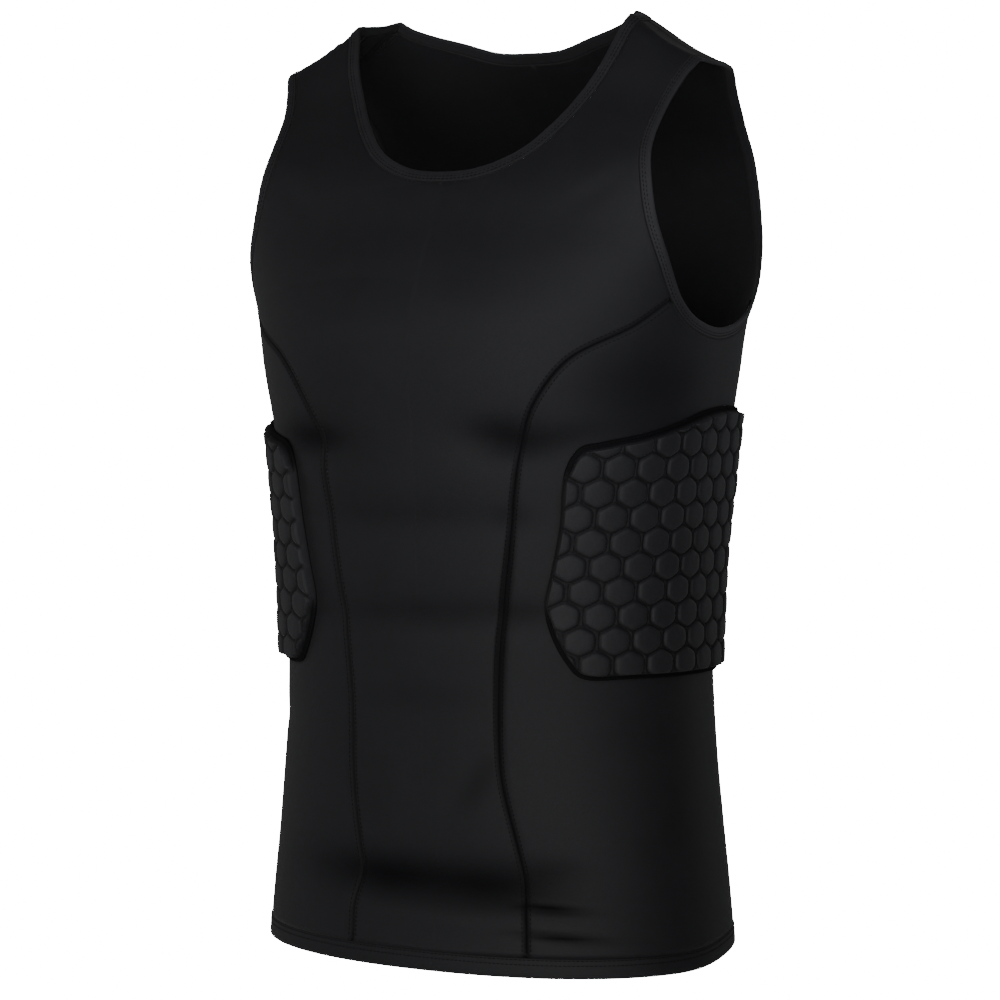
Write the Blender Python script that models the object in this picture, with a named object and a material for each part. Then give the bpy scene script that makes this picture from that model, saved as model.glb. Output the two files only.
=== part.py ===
"""Padded compression shirt: a sleeveless stretch top with a honeycomb foam pad over each side of the ribs.

Metres, +Z up. The origin lies midway between the two shoulder straps, at the height where the
wearer's shoulders carry them. The chest faces -Y, and the wearer's left arm comes out at +X.

The cloth follows a plain general figure, given as level sections. Each maker's piece is a panel or a
binding cut out of that surface by the cut lines below, and given the thickness of its cloth.
"""

from collections import namedtuple

import bmesh
import bpy
import numpy as np
from mathutils import Vector
from mathutils.geometry import delaunay_2d_cdt

# Cloth and seams
CLOTH = 0.0014           # knit panel, face to face
BINDING_RISE = 0.0003    # a folded binding stands this much proud of the panel, inside and out
SEAM = 0.0003            # gap between two pieces that are sewn edge to edge
NECK_BAND = 0.009
ARM_BAND = 0.008
HEM_BAND = 0.014

# Rib pads
PAD_SEAT = 0.0005        # gap under a pad, over the curved panel
PAD_FLANGE = 0.0020      # thickness of the stitched rim
PAD_GROOVE = 0.0058      # foam left between the cells
PAD_SHOULDER = 0.0072    # where a cell's top starts to round over
PAD_TOP = 0.0080         # crown of a cell
RIM = 0.0032             # width of the stitched rim
CELL_PITCH = 0.0239      # from cell to cell along a row
ROW_PITCH = 0.0170       # from row to row, every other row set off by half a pitch
CELL_HALF_WIDTH = 0.0088
CELL_HALF_HEIGHT = 0.0078
FIRST_CELL = (0.0236, -0.3174)   # forward of the side line, and height
CELL_LEAN = 0.045        # each row down steps this share of its drop forward
CELL_ROWS = range(-9, 4)         # counted up from the first cell, enough to pass every edge
CELL_COLUMNS = range(-5, 7)
CELL_MARGIN = 0.0018     # no point of a cell lies nearer the rim than this
BACK_MARGIN = 0.0034     # the same for the plain back and the pad's outline
SIDE_REACH = 125         # degrees either way round from the side line that a pad may use

# Heights
HEM = -0.664
PANEL_FOOT = HEM + HEM_BAND + SEAM
FRONT_EASE = 1.12        # how soon the rows of a panel turn level below the neck
BACK_EASE = 1.28

# Finding the figure's surface
GUIDE_RADIUS = 0.14      # a circle near the cloth, from which level lines are found
GUIDE_DEPTH = 0.12       # the same for the centre lines, front and back
SETTLE_ROUNDS = 12
LEVEL_ROUNDS = 16        # the same, where a point must keep its height
SLOPE_STEP = 5e-5
LEAST_SLOPE = 0.05       # keeps one settling step short where the slope fades
LEAST_RATIO = 0.3        # near the middle of the body the distance is cut off here
FINE = 40                # trial points for each step of an evenly spaced line
FOLD_FADE = 0.05         # folds fade to nothing over this distance towards the side line

# Level sections of the figure, from above the shoulders to below the hem
Section = namedtuple("Section", "height half_width front_depth back_depth front_square back_square")
FIGURE = [
    Section(0.060, 0.206, 0.016, 0.018, 4.0, 4.0),
    Section(0.000, 0.211, 0.025, 0.031, 4.5, 4.0),
    Section(-0.032, 0.212, 0.037, 0.053, 5.0, 4.0),
    Section(-0.060, 0.212, 0.051, 0.081, 5.5, 4.0),
    Section(-0.090, 0.210, 0.072, 0.103, 5.0, 4.0),
    Section(-0.120, 0.205, 0.094, 0.114, 3.4, 3.8),
    Section(-0.150, 0.198, 0.110, 0.119, 2.8, 3.5),
    Section(-0.180, 0.187, 0.127, 0.122, 2.6, 3.2),
    Section(-0.215, 0.176, 0.141, 0.123, 2.5, 3.0),
    Section(-0.250, 0.170, 0.143, 0.124, 2.5, 3.0),
    Section(-0.295, 0.164, 0.138, 0.123, 2.4, 2.9),
    Section(-0.335, 0.161, 0.134, 0.120, 2.35, 2.8),
    Section(-0.375, 0.159, 0.130, 0.116, 2.3, 2.6),
    Section(-0.425, 0.158, 0.126, 0.113, 2.25, 2.5),
    Section(-0.475, 0.159, 0.122, 0.112, 2.2, 2.4),
    Section(-0.525, 0.162, 0.119, 0.114, 2.2, 2.4),
    Section(-0.575, 0.167, 0.118, 0.118, 2.2, 2.4),
    Section(-0.625, 0.1725, 0.119, 0.122, 2.2, 2.4),
    Section(-0.664, 0.176, 0.121, 0.125, 2.2, 2.4),
    Section(-0.700, 0.1785, 0.123, 0.127, 2.2, 2.4),
]

# The shoulders: a roof that slopes down from the neck to each side, with a rounded edge
ROOF_NECK = 0.105        # distance out from the centre where ROOF_HEIGHT is measured
ROOF_HEIGHT = 0.0005
ROOF_SLOPE = 0.485
ROOF_ROUND = 0.040

# Cut lines on the wearer's left half: across from the centre, back from the shoulder line, height
Cut = namedtuple("Cut", "across back height")
NECKLINE = [
    Cut(0.000, -0.090, -0.114),
    Cut(0.028, -0.088, -0.111),
    Cut(0.054, -0.079, -0.099),
    Cut(0.072, -0.065, -0.081),
    Cut(0.086, -0.050, -0.060),
    Cut(0.098, -0.037, -0.035),
    Cut(0.105, -0.020, -0.010),
    Cut(0.106, 0.000, 0.000),
    Cut(0.102, 0.013, 0.000),
    Cut(0.091, 0.022, -0.002),
    Cut(0.073, 0.030, -0.007),
    Cut(0.050, 0.036, -0.013),
    Cut(0.025, 0.041, -0.020),
    Cut(0.000, 0.042, -0.021),
]
NECK_POINT = 7           # row of NECKLINE on the shoulder seam

ARMHOLE = [
    Cut(0.167, 0.006, -0.031),
    Cut(0.163, -0.015, -0.035),
    Cut(0.159, -0.035, -0.044),
    Cut(0.154, -0.053, -0.060),
    Cut(0.152, -0.067, -0.079),
    Cut(0.152, -0.076, -0.100),
    Cut(0.155, -0.081, -0.122),
    Cut(0.159, -0.082, -0.146),
    Cut(0.165, -0.078, -0.170),
    Cut(0.171, -0.065, -0.199),
    Cut(0.174, -0.050, -0.212),
    Cut(0.175, -0.030, -0.219),
    Cut(0.176, -0.006, -0.222),
    Cut(0.176, 0.019, -0.219),
    Cut(0.175, 0.042, -0.211),
    Cut(0.172, 0.063, -0.197),
    Cut(0.167, 0.085, -0.171),
    Cut(0.162, 0.097, -0.140),
    Cut(0.158, 0.097, -0.105),
    Cut(0.156, 0.086, -0.077),
    Cut(0.158, 0.066, -0.055),
    Cut(0.163, 0.036, -0.038),
]
SHOULDER_TIP = 0         # rows of ARMHOLE where the seams meet it
FRONT_SEAM_HEAD = 9
BACK_SEAM_HEAD = 15

FRONT_SEAM = [           # below its head on the armhole
    Cut(0.150, -0.090, -0.220),
    Cut(0.113, -0.121, -0.244),
    Cut(0.091, -0.127, -0.272),
    Cut(0.081, -0.127, -0.297),
    Cut(0.074, -0.125, -0.335),
    Cut(0.069, -0.122, -0.375),
    Cut(0.062, -0.119, -0.425),
    Cut(0.058, -0.115, -0.475),
    Cut(0.058, -0.112, -0.525),
    Cut(0.062, -0.111, -0.575),
    Cut(0.067, -0.112, -0.625),
    Cut(0.068, -0.113, PANEL_FOOT),
]
BACK_SEAM = [
    Cut(0.161, 0.084, -0.220),
    Cut(0.142, 0.096, -0.250),
    Cut(0.125, 0.102, -0.290),
    Cut(0.114, 0.102, -0.335),
    Cut(0.106, 0.099, -0.375),
    Cut(0.101, 0.097, -0.425),
    Cut(0.098, 0.096, -0.475),
    Cut(0.098, 0.098, -0.525),
    Cut(0.101, 0.101, -0.575),
    Cut(0.104, 0.104, -0.625),
    Cut(0.105, 0.106, PANEL_FOOT),
]

# Largest soft folds of the cloth: place, half sizes, depth inwards, rise per metre across, and face
Fold = namedtuple("Fold", "across height half_length half_height depth rise face")
FRONT, BACK = -1, 1
FOLDS = [
    Fold(0.066, -0.300, 0.034, 0.016, 0.0040, 0.10, FRONT),     # under the chest, wearer's left
    Fold(-0.070, -0.302, 0.028, 0.015, 0.0034, -0.08, FRONT),   # under the chest, wearer's right
    Fold(0.010, -0.352, 0.075, 0.018, 0.0018, 0.05, FRONT),
    Fold(0.020, -0.418, 0.080, 0.017, 0.0026, 0.03, FRONT),
    Fold(0.012, -0.596, 0.095, 0.026, 0.0045, -0.02, FRONT),    # across the belly
    Fold(-0.015, -0.405, 0.085, 0.018, 0.0030, 0.06, BACK),
    Fold(0.020, -0.455, 0.095, 0.022, 0.0038, -0.04, BACK),     # hollow of the back
    Fold(-0.010, -0.590, 0.080, 0.024, 0.0028, 0.05, BACK),
]

# Outline of a rib pad, spread flat: forward of the side line, and height
Rim = namedtuple("Rim", "forward height")
PAD_OUTLINE = [
    Rim(0.123, -0.304),
    Rim(0.131, -0.318),
    Rim(0.131, -0.360),
    Rim(0.134, -0.390),
    Rim(0.137, -0.413),
    Rim(0.132, -0.432),
    Rim(0.120, -0.453),
    Rim(0.110, -0.4625),
    Rim(0.070, -0.464),
    Rim(0.015, -0.465),
    Rim(-0.040, -0.466),
    Rim(-0.064, -0.464),
    Rim(-0.073, -0.452),
    Rim(-0.074, -0.400),
    Rim(-0.074, -0.340),
    Rim(-0.073, -0.292),
    Rim(-0.064, -0.280),
    Rim(-0.040, -0.277),
    Rim(-0.012, -0.277),
    Rim(0.016, -0.280),
    Rim(0.045, -0.287),
    Rim(0.075, -0.294),
    Rim(0.108, -0.300),
]

# Mesh steps
NECK_STEPS = 10          # along the neckline, centre to shoulder seam
PANEL_STEPS = 8          # across half a front or back panel
ARM_STEPS = 14           # along the armhole, shoulder seam to side seam
UNDERARM_STEPS = 12
SEAM_STEPS = 18          # down a side seam
RIM_STEP = 0.0075
PAD_BACK_STEP = (0.0085, 0.014)   # plain back of a pad: forward, height
SIDE_STEPS = 250         # round the side, from one end of SIDE_REACH to the other
FLAT_SCALE = 1000        # flat points are triangulated in millimetres
SMOOTH_ANGLE = 0.7       # radians; a sharper edge than this stays an edge
WELD = 1e-6              # points nearer than this are one point

# Finishes: colour, roughness
KNIT_BLACK = ((0.013, 0.013, 0.015), 0.78)
BINDING_BLACK = ((0.018, 0.018, 0.020), 0.70)
PAD_BLACK = ((0.022, 0.022, 0.026), 0.62)


def hermite(knots, values, at):
    """Cubic curve through the knots, with central-difference slopes."""
    slopes = np.gradient(values, knots)
    at = np.clip(at, knots[0], knots[-1])
    i = np.clip(np.searchsorted(knots, at) - 1, 0, len(knots) - 2)
    span = knots[i + 1] - knots[i]
    t = (at - knots[i]) / span
    start = (2 * t**3 - 3 * t**2 + 1) * values[i] + (t**3 - 2 * t**2 + t) * span * slopes[i]
    end = (3 * t**2 - 2 * t**3) * values[i + 1] + (t**3 - t**2) * span * slopes[i + 1]
    return start + end


SECTIONS = np.array(FIGURE[::-1])


def section(height):
    """Half width, depths and squareness of the figure at a height."""
    return [hermite(SECTIONS[:, 0], SECTIONS[:, k], height) for k in range(1, 6)]


def level(points):
    """Signed distance, nearly, from the figure: sides and shoulder roof, joined by a rounded edge."""
    x, y, z = np.moveaxis(points, -1, 0)
    half_width, front_depth, back_depth, front_square, back_square = section(z)
    depth = np.where(y < 0, front_depth, back_depth)
    power = np.where(y < 0, front_square, back_square)
    ratio = (np.abs(x / half_width) ** power + np.abs(y / depth) ** power) ** (1 / power)
    ratio = np.maximum(ratio, LEAST_RATIO)
    side = np.hypot(x, y) * (1 - 1 / ratio) + ROOF_ROUND
    roof_height = ROOF_HEIGHT - ROOF_SLOPE * (np.abs(x) - ROOF_NECK)
    roof = (z - roof_height) / np.hypot(1, ROOF_SLOPE) + ROOF_ROUND
    outside = np.hypot(np.maximum(side, 0), np.maximum(roof, 0))
    return outside - ROOF_ROUND + np.minimum(np.maximum(side, roof), 0)


def climb(points):
    """Gradient of level, by central differences."""
    steps = SLOPE_STEP * np.eye(3)
    return np.stack([level(points + step) - level(points - step) for step in steps], -1) / (2 * SLOPE_STEP)


def settle(points):
    """Move points onto the figure."""
    points = np.array(points, float)
    for _ in range(SETTLE_ROUNDS):
        slope = climb(points)
        steepness = np.maximum((slope**2).sum(-1), LEAST_SLOPE)
        points -= (level(points) / steepness)[..., None] * slope
    return points


def outward(points):
    """Unit normals of the figure at the points."""
    slope = climb(points)
    return slope / np.linalg.norm(slope, axis=-1, keepdims=True)


def fold_depth(points):
    """How far the soft folds press the cloth in at each point."""
    x, y, z = np.moveaxis(points, -1, 0)
    depth = np.zeros_like(x)
    for fold in FOLDS:
        along = (x - fold.across) / fold.half_length
        over = (z - fold.height - fold.rise * (x - fold.across)) / fold.half_height
        facing = np.clip(y * fold.face / FOLD_FADE, 0, 1)
        depth += fold.depth * facing * np.exp(-along**2 - over**2)
    return depth


def cloth(points, rise=0.0):
    """Points of the draped cloth's face, moved out by a rise, for points on the figure."""
    return points + outward(points) * (rise - fold_depth(points))[..., None]


def length_along(line):
    """Distance along a line to each of its points."""
    return np.concatenate([[0], np.cumsum(np.linalg.norm(np.diff(line, axis=0), axis=1))])


def even(line, steps):
    """The same line with its points evenly spaced."""
    length = length_along(line)
    at = np.linspace(0, length[-1], steps + 1)
    return np.stack([np.interp(at, length, line[:, k]) for k in range(line.shape[1])], -1)


def spline(rows, first, last, steps):
    """Evenly spaced points on the smooth curve through the rows, from one row to another."""
    rows = np.array(rows, float)
    knots = np.concatenate([[0], np.cumsum(np.linalg.norm(np.diff(rows, axis=0), axis=1) ** 0.5)])
    at = np.linspace(knots[first], knots[last], FINE * steps + 1)
    return even(np.stack([hermite(knots, rows[:, k], at) for k in range(rows.shape[1])], -1), steps)


def closed_spline(rows, first, last, steps):
    """The same on a closed curve; row numbers may run past the end."""
    around = [rows[i % len(rows)] for i in range(-3, 2 * len(rows) + 3)]
    return spline(around, first + 3, last + 3, steps)


def beside(line, distance, closed=False):
    """A line on the figure at a distance to the left of this one, seen from outside."""
    if closed:
        ahead = np.roll(line, -1, axis=0) - np.roll(line, 1, axis=0)
    else:
        ahead = np.gradient(line, axis=0)
    left = np.cross(outward(line), ahead)
    left /= np.linalg.norm(left, axis=1, keepdims=True)
    return settle(line + distance * left)


def neck_loop():
    """The finished neck edge, from centre front by the left shoulder round to centre front."""
    mirrored = [Cut(-row.across, row.back, row.height) for row in NECKLINE]
    rows = mirrored[3:0:-1] + NECKLINE + mirrored[-2:-5:-1]
    front = spline(rows, 3, 3 + NECK_POINT, NECK_STEPS)
    back = spline(rows, 3 + NECK_POINT, 2 + len(NECKLINE), NECK_STEPS)
    half = np.concatenate([front, back[1:]])
    other = half[-2:0:-1] * (-1, 1, 1)
    return settle(np.concatenate([half, other]))


def arm_loop():
    """The finished edge of the left armhole, from the shoulder down the front and up the back."""
    front = closed_spline(ARMHOLE, SHOULDER_TIP, FRONT_SEAM_HEAD, ARM_STEPS)
    under = closed_spline(ARMHOLE, FRONT_SEAM_HEAD, BACK_SEAM_HEAD, UNDERARM_STEPS)
    back = closed_spline(ARMHOLE, BACK_SEAM_HEAD, len(ARMHOLE), ARM_STEPS)
    return settle(np.concatenate([front[:-1], under[:-1], back[:-1]]))


def level_ring(points, height):
    """Points settled on the figure at one height, or each at its own."""
    ring = np.array(points, float)
    for _ in range(LEVEL_ROUNDS):
        ring[:, 2] = height
        ring = settle(ring)
    ring[:, 2] = height
    return ring


def level_arc(start, end, height, steps):
    """Evenly spaced points round the figure at one height, between two points' bearings."""
    bearing = np.linspace(np.arctan2(start[0], -start[1]), np.arctan2(end[0], -end[1]), FINE * steps + 1)
    circle = GUIDE_RADIUS * np.stack([np.sin(bearing), -np.cos(bearing), 0 * bearing], -1)
    return even(level_ring(circle, height), steps)


def coons(top, bottom, left, right):
    """Grid of points filled in between four border lines, settled on the figure."""
    u = np.linspace(0, 1, len(top))[None, :, None]
    v = np.linspace(0, 1, len(left))[:, None, None]
    across = (1 - v) * top[None] + v * bottom[None]
    down = (1 - u) * left[:, None] + u * right[:, None]
    corners = ((1 - u) * (1 - v) * top[0] + u * (1 - v) * top[-1]
               + (1 - u) * v * bottom[0] + u * v * bottom[-1])
    grid = across + down - corners
    grid[1:-1, 1:-1] = settle(grid[1:-1, 1:-1])
    return grid


def seam_edges(head, rows):
    """Both edges of a seam, left and right, from its head on the armhole binding down to the hem binding."""
    rows = [tuple(head)] + [tuple(row) for row in rows]
    line = settle(spline(rows, 0, len(rows) - 1, SEAM_STEPS))
    edges = [beside(line, SEAM / 2), beside(line, -SEAM / 2)]
    for edge in edges:
        edge[-1, 2] = PANEL_FOOT
    return edges


def ruled(left, right, top, foot):
    """Grid of points between two border lines, row by row, settled on the figure."""
    share = np.linspace(0, 1, len(top))[None, :, None]
    grid = (1 - share) * left[:, None] + share * right[:, None]
    grid[0], grid[-1] = top, foot
    grid[1:-1, 1:-1] = settle(grid[1:-1, 1:-1])
    return grid


def half_panel(neck_edge, arm_edge, seam, centre_ease, shoulder_shift):
    """Left half of the front or back panel: rows from the shoulder down, columns from the centre out."""
    ridge = np.array([neck_edge[0], arm_edge[0]]) + (0, shoulder_shift, 0)
    shoulder = settle(even(ridge, PANEL_STEPS))
    right = np.concatenate([shoulder[-1:], arm_edge[1:-1], seam])
    below = right[NECK_STEPS:, 2] - PANEL_FOOT
    heights = PANEL_FOOT + (neck_edge[-1, 2] - PANEL_FOOT) * np.clip(below / below[0], 0, 1)**centre_ease
    depth = np.sign(neck_edge[-1, 1]) * GUIDE_DEPTH
    centre = level_ring(np.stack([0 * heights, 0 * heights + depth, heights], -1), heights)
    left = np.concatenate([shoulder[:1], neck_edge[1:], centre[1:]])
    left[-1, 2] = PANEL_FOOT
    foot = level_arc(left[-1], right[-1], PANEL_FOOT, PANEL_STEPS)
    foot[0], foot[-1] = left[-1], right[-1]
    return ruled(left, right, shoulder, foot)


def mirrored(grid):
    """The same grid on the wearer's right, with its columns the other way round."""
    return (grid * (-1, 1, 1))[:, ::-1]


def add_object(name, vertices, faces, finish):
    """A smooth shaded solid of triangles with its normals pointing out."""
    mesh = bpy.data.meshes.new(name)
    mesh.from_pydata([tuple(v) for v in vertices], [], faces)
    solid = bmesh.new()
    solid.from_mesh(mesh)
    bmesh.ops.recalc_face_normals(solid, faces=solid.faces)
    bmesh.ops.triangulate(solid, faces=solid.faces)
    solid.to_mesh(mesh)
    solid.free()
    mesh.shade_smooth()
    mesh.set_sharp_from_angle(angle=SMOOTH_ANGLE)
    item = bpy.data.objects.new(name, mesh)
    bpy.context.collection.objects.link(item)
    item.data.materials.append(finish)
    return item


def finish_material(name, look):
    """A plain dull material from a colour and a roughness."""
    colour, roughness = look
    material = bpy.data.materials.new(name)
    material.use_nodes = True
    shader = material.node_tree.nodes["Principled BSDF"]
    shader.inputs["Base Color"].default_value = (*colour, 1)
    shader.inputs["Roughness"].default_value = roughness
    shader.inputs["Metallic"].default_value = 0
    material.diffuse_color = (*colour, 1)
    return material


def wall(name, grids, look, rise=0.0, thickness=CLOTH):
    """A cloth wall on grids of figure points, joined wherever their points meet."""
    points = np.concatenate([grid.reshape(-1, 3) for grid in grids])
    _, first, index = np.unique(np.round(points / WELD), axis=0, return_index=True, return_inverse=True)
    points, index = points[first], index.ravel()
    quads = []
    start = 0
    for grid in grids:
        rows, columns = grid.shape[:2]
        number = index[start:start + rows * columns].reshape(rows, columns)
        corners = [number[:-1, :-1], number[:-1, 1:], number[1:, 1:], number[1:, :-1]]
        quads.append(np.stack(corners, -1).reshape(-1, 4))
        start += rows * columns
    quads = np.concatenate(quads)
    edges = np.concatenate([quads[:, (k, (k + 1) % 4)] for k in range(4)])
    _, place, uses = np.unique(np.sort(edges, axis=1), axis=0, return_index=True, return_counts=True)
    border = edges[place[uses == 1]]
    inside = len(points)
    rim = np.stack([border[:, 1], border[:, 0], border[:, 0] + inside, border[:, 1] + inside], -1)
    faces = quads.tolist() + (quads[:, ::-1] + inside).tolist() + rim.tolist()
    vertices = np.concatenate([cloth(points, rise), cloth(points, rise - thickness)])
    return add_object(name, vertices, faces, finish_material(name, look))


def binding(name, edge, meeting, look):
    """A folded binding, from a finished edge to the line where it meets the panels."""
    grid = np.stack([edge, meeting])
    grid = np.concatenate([grid, grid[:, :1]], axis=1)
    return wall(name, [grid], look, BINDING_RISE, CLOTH + 2 * BINDING_RISE)


def on_side(flat):
    """Points on the figure's left side, for flat points forward of the side line and heights."""
    turn = np.radians(np.linspace(-SIDE_REACH, SIDE_REACH, SIDE_STEPS + 1))
    forward, height = flat[:, :1], flat[:, 1:]
    half_width, front_depth, back_depth, front_square, back_square = section(height)
    depth = np.where(turn > 0, front_depth, back_depth)
    power = np.where(turn > 0, front_square, back_square)
    ratio = (np.abs(np.cos(turn) / half_width) ** power + np.abs(np.sin(turn) / depth) ** power) ** (1 / power)
    x = np.cos(turn) / ratio
    y = -np.sin(turn) / ratio
    step = np.hypot(np.diff(x, axis=1), np.diff(y, axis=1))
    arc = np.concatenate([np.zeros_like(height), np.cumsum(step, axis=1)], axis=1)
    arc -= arc[:, len(turn) // 2][:, None]
    i = np.clip((arc < forward).sum(axis=1) - 1, 0, len(turn) - 2)
    row = np.arange(len(flat))
    share = (forward[:, 0] - arc[row, i]) / (arc[row, i + 1] - arc[row, i])
    place = np.stack([x[row, i] + share * (x[row, i + 1] - x[row, i]),
                      y[row, i] + share * (y[row, i + 1] - y[row, i]),
                      height[:, 0]], -1)
    return settle(place)


def inset(loop, distance):
    """A closed flat loop moved inwards; the loop runs with its inside on the right."""
    ahead = np.roll(loop, -1, axis=0) - np.roll(loop, 1, axis=0)
    ahead /= np.linalg.norm(ahead, axis=1, keepdims=True)
    return loop + distance * np.stack([ahead[:, 1], -ahead[:, 0]], -1)


def depth_inside(points, loop):
    """Distance of flat points inside a closed loop, negative outside it."""
    start = loop[None]
    run = (np.roll(loop, -1, axis=0) - loop)[None]
    offset = points[:, None] - start
    share = np.clip((offset * run).sum(-1) / (run**2).sum(-1), 0, 1)
    distance = np.linalg.norm(offset - share[..., None] * run, axis=-1).min(axis=1)
    low = start[..., 1] <= points[:, None, 1]
    high = start[..., 1] + run[..., 1] <= points[:, None, 1]
    cross = run[..., 0] * offset[..., 1] - run[..., 1] * offset[..., 0]
    winding = ((low & ~high & (cross > 0)).astype(int) - (~low & high & (cross < 0)).astype(int)).sum(axis=1)
    return np.where(winding != 0, distance, -distance)


def cell_centres():
    """Centres of the staggered foam cells over the whole pad and a little beyond."""
    centres = []
    for row in CELL_ROWS:
        rise = row * ROW_PITCH
        shift = 0.5 * CELL_PITCH * (row % 2) - CELL_LEAN * rise
        for column in CELL_COLUMNS:
            centres.append((FIRST_CELL[0] + column * CELL_PITCH + shift, FIRST_CELL[1] + rise))
    return np.array(centres)


def pad_points(rim_line):
    """Flat points and rises of a pad's cells inside its rim."""
    centres = cell_centres()
    across, up = CELL_PITCH / 2, ROW_PITCH / 2
    corner = up - across**2 / ROW_PITCH / 2
    turn = np.radians(30 + 60 * np.arange(6))
    shoulder = np.stack([CELL_HALF_WIDTH * np.cos(turn), CELL_HALF_HEIGHT * np.sin(turn)], -1)
    grooves = np.array([(across, corner), (across, -corner), (across / 2, up), (-across / 2, up)])
    kinds = [(np.zeros((1, 2)), PAD_TOP), (shoulder, PAD_SHOULDER), (grooves, PAD_GROOVE)]
    flat, rises = [], []
    for offsets, rise in kinds:
        spots = (centres[:, None] + offsets[None]).reshape(-1, 2)
        spots = spots[depth_inside(spots, rim_line) > CELL_MARGIN]
        flat.append(spots)
        rises.append(np.full(len(spots), rise))
    return np.concatenate(flat), np.concatenate(rises)


def triangulate(flat, loops):
    """Triangles over flat points, kept inside the closed loops that the first points make."""
    edges = []
    start = 0
    for count in loops:
        edges += [(start + i, start + (i + 1) % count) for i in range(count)]
        start += count
    result = delaunay_2d_cdt([Vector(FLAT_SCALE * p) for p in flat], edges, [], 1, 1e-4)
    kept = [sources[0] for sources in result[3]]
    return [[kept[i] for i in face] for face in result[2]]


def rib_pad(name, mirror):
    """Foam cells on a stitched rim, moulded over the side panel; its back is plain."""
    around = length_along(np.array(PAD_OUTLINE + PAD_OUTLINE[:1]))[-1]
    steps = round(around / RIM_STEP)
    outline = closed_spline(PAD_OUTLINE, 0, len(PAD_OUTLINE), steps)[:-1]
    rim_line = inset(outline, RIM)
    cells, cell_rises = pad_points(rim_line)
    face = np.concatenate([outline, rim_line, cells])
    face_rises = np.concatenate([np.full(2 * steps, PAD_FLANGE), cell_rises])
    low, high = outline.min(axis=0), outline.max(axis=0)
    spots = np.stack(np.meshgrid(np.arange(low[0], high[0], PAD_BACK_STEP[0]),
                                 np.arange(low[1], high[1], PAD_BACK_STEP[1])), -1).reshape(-1, 2)
    spots = spots[depth_inside(spots, outline) > BACK_MARGIN]
    back = np.concatenate([outline, spots])
    front_faces = triangulate(face, [steps, steps])
    back_faces = triangulate(back, [steps])
    count = len(face)
    faces = front_faces + [[i + count for i in reversed(f)] for f in back_faces]
    faces += [[i, (i + 1) % steps, (i + 1) % steps + count, i + count] for i in range(steps)]
    flat = np.concatenate([face, back])
    rises = np.concatenate([face_rises, np.zeros(len(back))])
    vertices = cloth(on_side(flat) * (mirror, 1, 1), PAD_SEAT + rises)
    return add_object(name, vertices, faces, finish_material(name, PAD_BLACK))


def build():
    """Cut the left half's lines, then make every piece and its mirrored partner."""
    for item in list(bpy.data.objects):
        bpy.data.objects.remove(item)

    neck = neck_loop()
    arm = arm_loop()
    neck_edge = beside(neck, -(NECK_BAND + SEAM), closed=True)
    arm_edge = beside(arm, -(ARM_BAND + SEAM), closed=True)
    front_head = ARM_STEPS
    back_head = ARM_STEPS + UNDERARM_STEPS
    side_front, front_seam = seam_edges(arm_edge[front_head], FRONT_SEAM)
    back_seam, side_back = seam_edges(arm_edge[back_head], BACK_SEAM)

    front = half_panel(neck_edge[:NECK_STEPS + 1][::-1], arm_edge[:front_head + 1],
                       front_seam, FRONT_EASE, -SEAM / 2)
    back_arm_edge = np.concatenate([arm_edge[back_head:], arm_edge[:1]])[::-1]
    back = half_panel(neck_edge[NECK_STEPS:2 * NECK_STEPS + 1], back_arm_edge,
                      back_seam, BACK_EASE, SEAM / 2)
    side_top = arm_edge[front_head:back_head + 1].copy()
    side_top[0], side_top[-1] = side_front[0], side_back[0]
    side_foot = level_arc(side_front[-1], side_back[-1], PANEL_FOOT, UNDERARM_STEPS)
    side_foot[0], side_foot[-1] = side_front[-1], side_back[-1]
    side = coons(side_top, side_foot, side_front, side_back)

    wall("front_panel", [mirrored(front), front], KNIT_BLACK)
    wall("back_panel", [mirrored(back), back], KNIT_BLACK)
    wall("side_panel_left", [side], KNIT_BLACK)
    wall("side_panel_right", [mirrored(side)], KNIT_BLACK)
    binding("neck_band", neck, beside(neck, -NECK_BAND, closed=True), BINDING_BLACK)
    arm_meeting = beside(arm, -ARM_BAND, closed=True)
    binding("armhole_band_left", arm, arm_meeting, BINDING_BLACK)
    binding("armhole_band_right", arm * (-1, 1, 1), arm_meeting * (-1, 1, 1), BINDING_BLACK)

    foot = np.concatenate([front[-1], side[-1, 1:-1], back[-1, ::-1]])
    foot = np.concatenate([foot, (foot * (-1, 1, 1))[-2:0:-1]])
    hem_edge, hem_meeting = level_ring(foot, HEM), level_ring(foot, HEM + HEM_BAND)
    binding("hem_band", hem_edge, hem_meeting, BINDING_BLACK)

    rib_pad("rib_pad_left", 1)
    rib_pad("rib_pad_right", -1)


build()
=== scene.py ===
# %% [markdown]
# # Padded compression shirt
# A black sleeveless stretch top, shown filled out as if worn, with a honeycomb foam pad over each
# side of the ribs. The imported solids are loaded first. They are the fixed frame, and every piece
# below is a finer version of one of them, with the real edges, folds, stitches and knit.

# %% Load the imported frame
from collections import namedtuple

import bpy
import numpy as np
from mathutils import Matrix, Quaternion, Vector


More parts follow.
